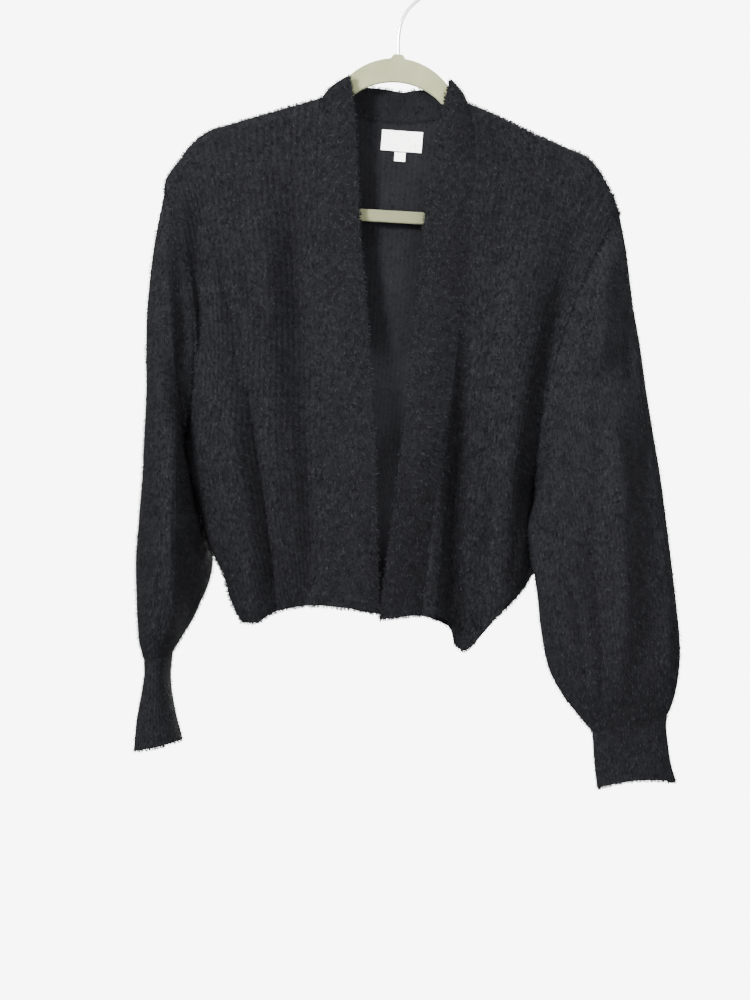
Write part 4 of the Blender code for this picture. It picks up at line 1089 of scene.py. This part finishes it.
def add_labels(back, back_normals, look):
    """Bare woven label and size tab, a little off the inner face of the back."""
    inner = (back - back_normals * WALL / 2)[:, ::PER_RIB]
    cells = grid_faces(0, *inner.shape[:2])
    face = BVHTree.FromPolygons([tuple(point) for point in inner.reshape(-1, 3)], cells)
    c, s = math.cos(LABEL_TILT), math.sin(LABEL_TILT)
    for name, node, centre, size, divisions in (
        ("woven_label", "neck_label", LABEL_AT, LABEL_SIZE, LABEL_CELLS),
        ("woven_tab", "size_tab", TAB_AT, TAB_SIZE, TAB_CELLS),
    ):
        layers = [[], []]
        for up in np.linspace(-0.5, 0.5, divisions[1] + 1) * size[1]:
            for across in np.linspace(-0.5, 0.5, divisions[0] + 1) * size[0]:
                x = (centre[0] + across * c - up * s) * MM
                z = (centre[1] + across * s + up * c) * MM
                y = face.ray_cast((x, -1, z), (0, 1, 0))[0].y - LABEL_CLEARANCE
                layers[0].append((x, y, z))
                layers[1].append((x, y - LABEL_THICKNESS, z))
        made = grid_box(name, layers, divisions, look)
        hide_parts(node)


def hanger_point(x, drop):
    """A point of the upright hanger, as it hangs."""
    c, s = math.cos(HANGER_TILT), math.sin(HANGER_TILT)
    top_x, top_z = HANGER_TOP_AT
    return ((top_x + x * c + drop * s) * MM, (top_z + x * s - drop * c) * MM)


def arch_drop(x):
    return ARCH_RADIUS - math.sqrt(ARCH_RADIUS**2 - x * x)


def mirrored(points):
    return [(-x, drop) for x, drop in points[::-1]]


def extruded(name, node, outline, look):
    """Flat plate from an outline in (x, drop), centred on the hanger's plane."""
    built = bmesh.new()
    corners = []
    for x, drop in outline:
        px, pz = hanger_point(x, drop)
        corners.append(built.verts.new((px, -HANGER_THICKNESS / 2, pz)))
    face = built.faces.new(corners)
    moved = bmesh.ops.extrude_face_region(built, geom=[face])["geom"]
    verts = [item for item in moved if isinstance(item, bmesh.types.BMVert)]
    bmesh.ops.translate(built, verts=verts, vec=(0, HANGER_THICKNESS, 0))
    mesh = bpy.data.meshes.new(name)
    fill_mesh(mesh, built)
    made = add_object(name, mesh, [look])
    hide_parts(node)
    bevel = made.modifiers.new("soft edges", "BEVEL")
    bevel.width = HANGER_EDGE
    bevel.segments = 4
    bevel.limit_method = "ANGLE"
    bevel.angle_limit = math.radians(HANGER_EDGE_FROM)
    bevel.harden_normals = True


def add_hanger(look, bar_look, metal):
    """Arch with two arms, crossbar and wire hook."""
    arch = np.linspace(0, ARCH_HALF_WIDTH, ARCH_POINTS)
    upper = [(x, arch_drop(x)) for x in arch[1:]]
    lower = [(x, arch_drop(x) + ARCH_HEIGHT) for x in arch[:-ARCH_SHORT]]
    end_drop = ARM_START[1] + (ARM_END - ARM_START[0]) * ARM_SLOPE
    upper += [ARM_BEND, ARM_START, (ARM_END, end_drop), *TIP_OUTLINE]
    upper = [point for point in upper if point[0] > FERRULE_FOOT]
    under_end = (ARM_END - TIP_CORNER[0], end_drop + ARM_HEIGHT - TIP_CORNER[1])
    under = [*TIP_INNER, under_end, (ARM_START[0], ARM_START[1] + ARM_HEIGHT)]
    under += lower[:0:-1]
    half = FERRULE_WIDTH / 2
    outline = mirrored(upper) + [(-half, -FERRULE_HEIGHT), (half, -FERRULE_HEIGHT)] + upper
    outline += under + [(0, ARCH_HEIGHT)] + mirrored(under)
    extruded("flock_arms", "hanger_arms", outline, look)
    end, low = BAR_HALF_LENGTH, BAR_TOP + BAR_HEIGHT
    corner = [(end - x, low - up) for x, up in BAR_CORNER]
    bar = [(-end, BAR_TOP), (end, BAR_TOP), *corner, *mirrored(corner)]
    extruded("flock_bar", "hanger_bar", bar, bar_look)

    middle_z = WIRE_RADIUS - HOOK_RADIUS
    route = [tuple(point) for point in along(STEM, np.linspace(0, 1, STEM_POINTS))]
    for turn in np.linspace(HOOK_FROM, HOOK_TO, HOOK_POINTS):
        route.append((HOOK_RADIUS * math.cos(turn), middle_z + HOOK_RADIUS * math.sin(turn)))
    wire = bpy.data.curves.new("wire_hook", "CURVE")
    wire.dimensions = "3D"
    wire.bevel_depth = WIRE_RADIUS
    wire.bevel_resolution = 6
    wire.use_fill_caps = True
    path = wire.splines.new("POLY")
    path.points.add(len(route) - 1)
    path.use_smooth = True
    for point, (x, z) in zip(path.points, route):
        point.co = (x, 0, z, 1)
    made = add_object("wire_hook", wire, [metal])
    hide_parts("hanger_hook")


class Look:
    """A material's nodes, added and linked in few words."""

    def __init__(self, name, **settings):
        self.material = bpy.data.materials.new(name)
        self.material.use_nodes = True
        self.nodes = self.material.node_tree.nodes
        self.shader = self.nodes["Principled BSDF"]
        self.finish(**settings)
        self.place = self.add("TexCoord").outputs["Object"]

    def put(self, node, key, value):
        if isinstance(value, bpy.types.NodeSocket):
            self.material.node_tree.links.new(value, node.inputs[key])
        else:
            node.inputs[key].default_value = value

    def add(self, kind, settings=(), **inputs):
        node = self.nodes.new(f"ShaderNode{kind}")
        for key, value in settings:
            setattr(node, key, value)
        for key, value in inputs.items():
            self.put(node, key, value)
        return node

    def math(self, operation, *values):
        node = self.add("Math", [("operation", operation)])
        for k, value in enumerate(values):
            self.put(node, k, value)
        return node.outputs[0]

    def mix(self, first, weight, second, other):
        """first * weight + second * other"""
        return self.math("MULTIPLY_ADD", first, weight, self.math("MULTIPLY", second, other))

    def noise(self, scale, detail=3.0, roughness=0.55, vector=None):
        vector = vector or self.place
        node = self.add("TexNoise", Vector=vector, Scale=scale, Detail=detail, Roughness=roughness)
        return node.outputs["Fac"]

    def wave(self, direction, scale):
        settings = [("bands_direction", direction)]
        node = self.add("TexWave", settings, Vector=self.place, Scale=scale, Distortion=0.6)
        return node.outputs["Fac"]

    def ramp(self, fac, *stops):
        node = self.add("ValToRGB", Fac=fac)
        for element, (position, colour) in zip(node.color_ramp.elements, stops):
            element.position = position
            element.color = (*colour, 1)
        return node.outputs["Color"]

    def bump(self, height, strength, distance):
        node = self.add("Bump", Height=height, Strength=strength, Distance=distance)
        return node.outputs["Normal"]

    def finish(self, **inputs):
        """Sets or links the shader's inputs, named with _ for a space."""
        for key, value in inputs.items():
            self.put(self.shader, key.replace("_", " "), value)
        return self.material


def knit_look(name, stitch, ribs=0.09):
    """Brushed rib knit: grooves painted darker as painted shade and crests lighter as painted
    light, stitches leaning along the ribs.
    """
    look = Look(name, Roughness=0.92, Specular_IOR_Level=0.05)
    uv = look.add("UVMap", [("uv_map", "knit")]).outputs["UV"]
    split = look.add("SeparateXYZ", Vector=uv)
    bend = look.mix(look.noise(160.0, 2.0, 0.5), 1.6, split.outputs["X"], math.tau)
    # rib is 0 in a groove and 1 on a crest. Weighed by ribs, it paints shade into the grooves and
    # light onto the crests.
    rib = look.math("MULTIPLY_ADD", look.math("COSINE", bend), -0.5, 0.5)
    lean = look.math("MULTIPLY", look.math("SINE", bend), 0.9)
    rows = look.math("MULTIPLY_ADD", split.outputs["Y"], math.tau * stitch, lean)
    loops = look.math("MULTIPLY_ADD", look.math("SINE", rows), 0.5, 0.5)
    streak = look.add("Mapping", Vector=uv, Scale=(6.0, 1.3, 1.0)).outputs["Vector"]
    strands = look.noise(1.6, 5.0, 0.65, vector=streak)
    clouds = look.math("MULTIPLY", look.noise(34.0), 0.25)
    tone = look.math("ADD", look.mix(rib, ribs, strands, 0.7), clouds)
    # The ramp runs from the painted-shade groove tone to the painted-light crest tone.
    groove, crest = KNIT_TONES
    colour = look.ramp(tone, (0.30, groove), (0.85, crest))
    relief = look.bump(look.mix(loops, 0.22, strands, 0.9), 0.55, 0.8 * MM)
    return look.finish(Base_Color=colour, Normal=relief)


def fibre_look(name, colour):
    look = Look(name, Roughness=0.9, Specular_IOR_Level=0.05)
    rough = look.math("MULTIPLY_ADD", look.noise(300.0), 0.3, 0.65)
    return look.finish(Base_Color=(*colour, 1), Roughness=rough)


def label_look():
    look = Look("bare woven satin", Roughness=0.6, Sheen_Weight=0.2)
    weave = look.math("MULTIPLY", look.wave("X", 560.0), look.wave("Z", 420.0))
    soft = look.mix(look.noise(90.0), 0.5, weave, 0.5)
    colour = look.ramp(soft, (0.1, (0.80, 0.80, 0.78)), (0.8, (0.92, 0.92, 0.90)))
    return look.finish(Base_Color=colour, Normal=look.bump(weave, 0.5, 0.15 * MM))


def flock_look(name, shade):
    """shade is how much darker the flock is than on the arms: below 1 it is painted shade, for the
    bar that hangs in the cardigan's shade.
    """
    look = Look(name, Roughness=0.95, Specular_IOR_Level=0.2)
    look.finish(Sheen_Weight=0.12, Sheen_Roughness=0.4)
    pile = look.noise(1500.0, 3.0, 0.6)
    tone = look.mix(pile, 0.45, look.noise(42.0, 3.0, 0.5), 0.55)
    # A shade below 1 darkens both tones as painted shade.
    dark, light = np.array(FLOCK_TONES) * shade
    colour = look.ramp(tone, (0.2, tuple(dark)), (0.8, tuple(light)))
    return look.finish(Base_Color=colour, Normal=look.bump(pile, 0.5, 0.25 * MM))


def wire_look():
    look = Look("polished wire", Roughness=0.22, Metallic=1.0)
    haze = look.noise(240.0, 4.0, 0.6)
    colour = look.ramp(haze, (0.3, (0.54, 0.54, 0.55)), (0.7, (0.66, 0.66, 0.67)))
    rough = look.math("MULTIPLY_ADD", haze, 0.2, 0.14)
    return look.finish(Base_Color=colour, Roughness=rough)


def floor_look():
    look = Look("pale floor", Roughness=0.8)
    cloud = look.noise(3.0, 3.0, 0.5)
    colour = look.ramp(cloud, (0.2, (0.80, 0.80, 0.79)), (0.8, (0.86, 0.86, 0.85)))
    return look.finish(Base_Color=colour)


def add_stage():
    """Pale floor, white surroundings, the lamps and the photograph's camera."""
    scene = bpy.context.scene
    mesh = bpy.data.meshes.new("floor")
    sides = ((-1, -1), (1, -1), (1, 1), (-1, 1))
    corners = [(x * FLOOR_HALF, y * FLOOR_HALF, FLOOR_Z) for x, y in sides]
    mesh.from_pydata(corners, [], [(0, 1, 2, 3)])
    mesh.materials.append(floor_look())
    floor = link_object("floor", mesh)

    world = bpy.data.worlds.new("studio")
    scene.world = world
    world.use_nodes = True
    nodes, links = world.node_tree.nodes, world.node_tree.links
    backdrop = nodes["Background"]
    backdrop.inputs["Color"].default_value = WORLD_COLOUR
    seen = nodes.new("ShaderNodeLightPath").outputs["Is Camera Ray"]
    strength = nodes.new("ShaderNodeMapRange")
    strength.inputs["To Min"].default_value = WORLD_STRENGTH
    strength.inputs["To Max"].default_value = BACKDROP_STRENGTH
    links.new(seen, strength.inputs["Value"])
    links.new(strength.outputs["Result"], backdrop.inputs["Strength"])

    for name, place, size, power, at, spread in LIGHTS:
        light = bpy.data.lights.new(name, "AREA")
        light.size = size
        light.energy = power
        light.spread = math.radians(spread)
        lamp = link_object(name, light)
        lamp.location = place
        lamp.visible_camera = False
        x, y, z = np.asarray(at) - np.asarray(place)
        lamp.rotation_euler = (math.atan2(math.hypot(x, y), -z), 0, math.atan2(-x, y))

    camera = bpy.data.cameras.new("camera")
    camera.sensor_fit = "AUTO"
    camera.sensor_width = SENSOR
    camera.lens = LENS
    eye = link_object("camera", camera)
    eye.location = EYE_AT
    eye.rotation_euler = (math.pi / 2, 0, 0)
    scene.camera = eye


def main():
    """Builds every piece, then the nap over the cloth, and sets the stage."""
    knit = knit_look("brushed charcoal knit", 1.4)
    rib = knit_look("charcoal rib", 1.7)
    brushed = knit_look("brushed band", 1.4, ribs=0.0)
    body = body_panels()
    sew_body(body, knit)
    add_bands(body, brushed)
    add_sleeves(body, knit, rib)
    add_labels(*body[2:], label_look())
    # The bar's flock is the arms' flock painted darker, as painted shade where it hangs inside the
    # cardigan.
    flock, bar_flock = flock_look("sage flock", 1.0), flock_look("sage flock with painted shade", 0.62)
    add_hanger(flock, bar_flock, wire_look())
    tones = [fibre_look(name, colour) for name, colour in FIBRE_TONES]
    seeds = itertools.count()
    for fibre, counts in FUZZ:
        for skin, count in counts.items():
            fuzz(skin, tones, next(seeds), count, fibre)
    for edge, per_mm, fibre, edged in FRINGES:
        for skin in edged:
            fringe(skin, tones, next(seeds), edge, per_mm, fibre)
    add_stage()


main()
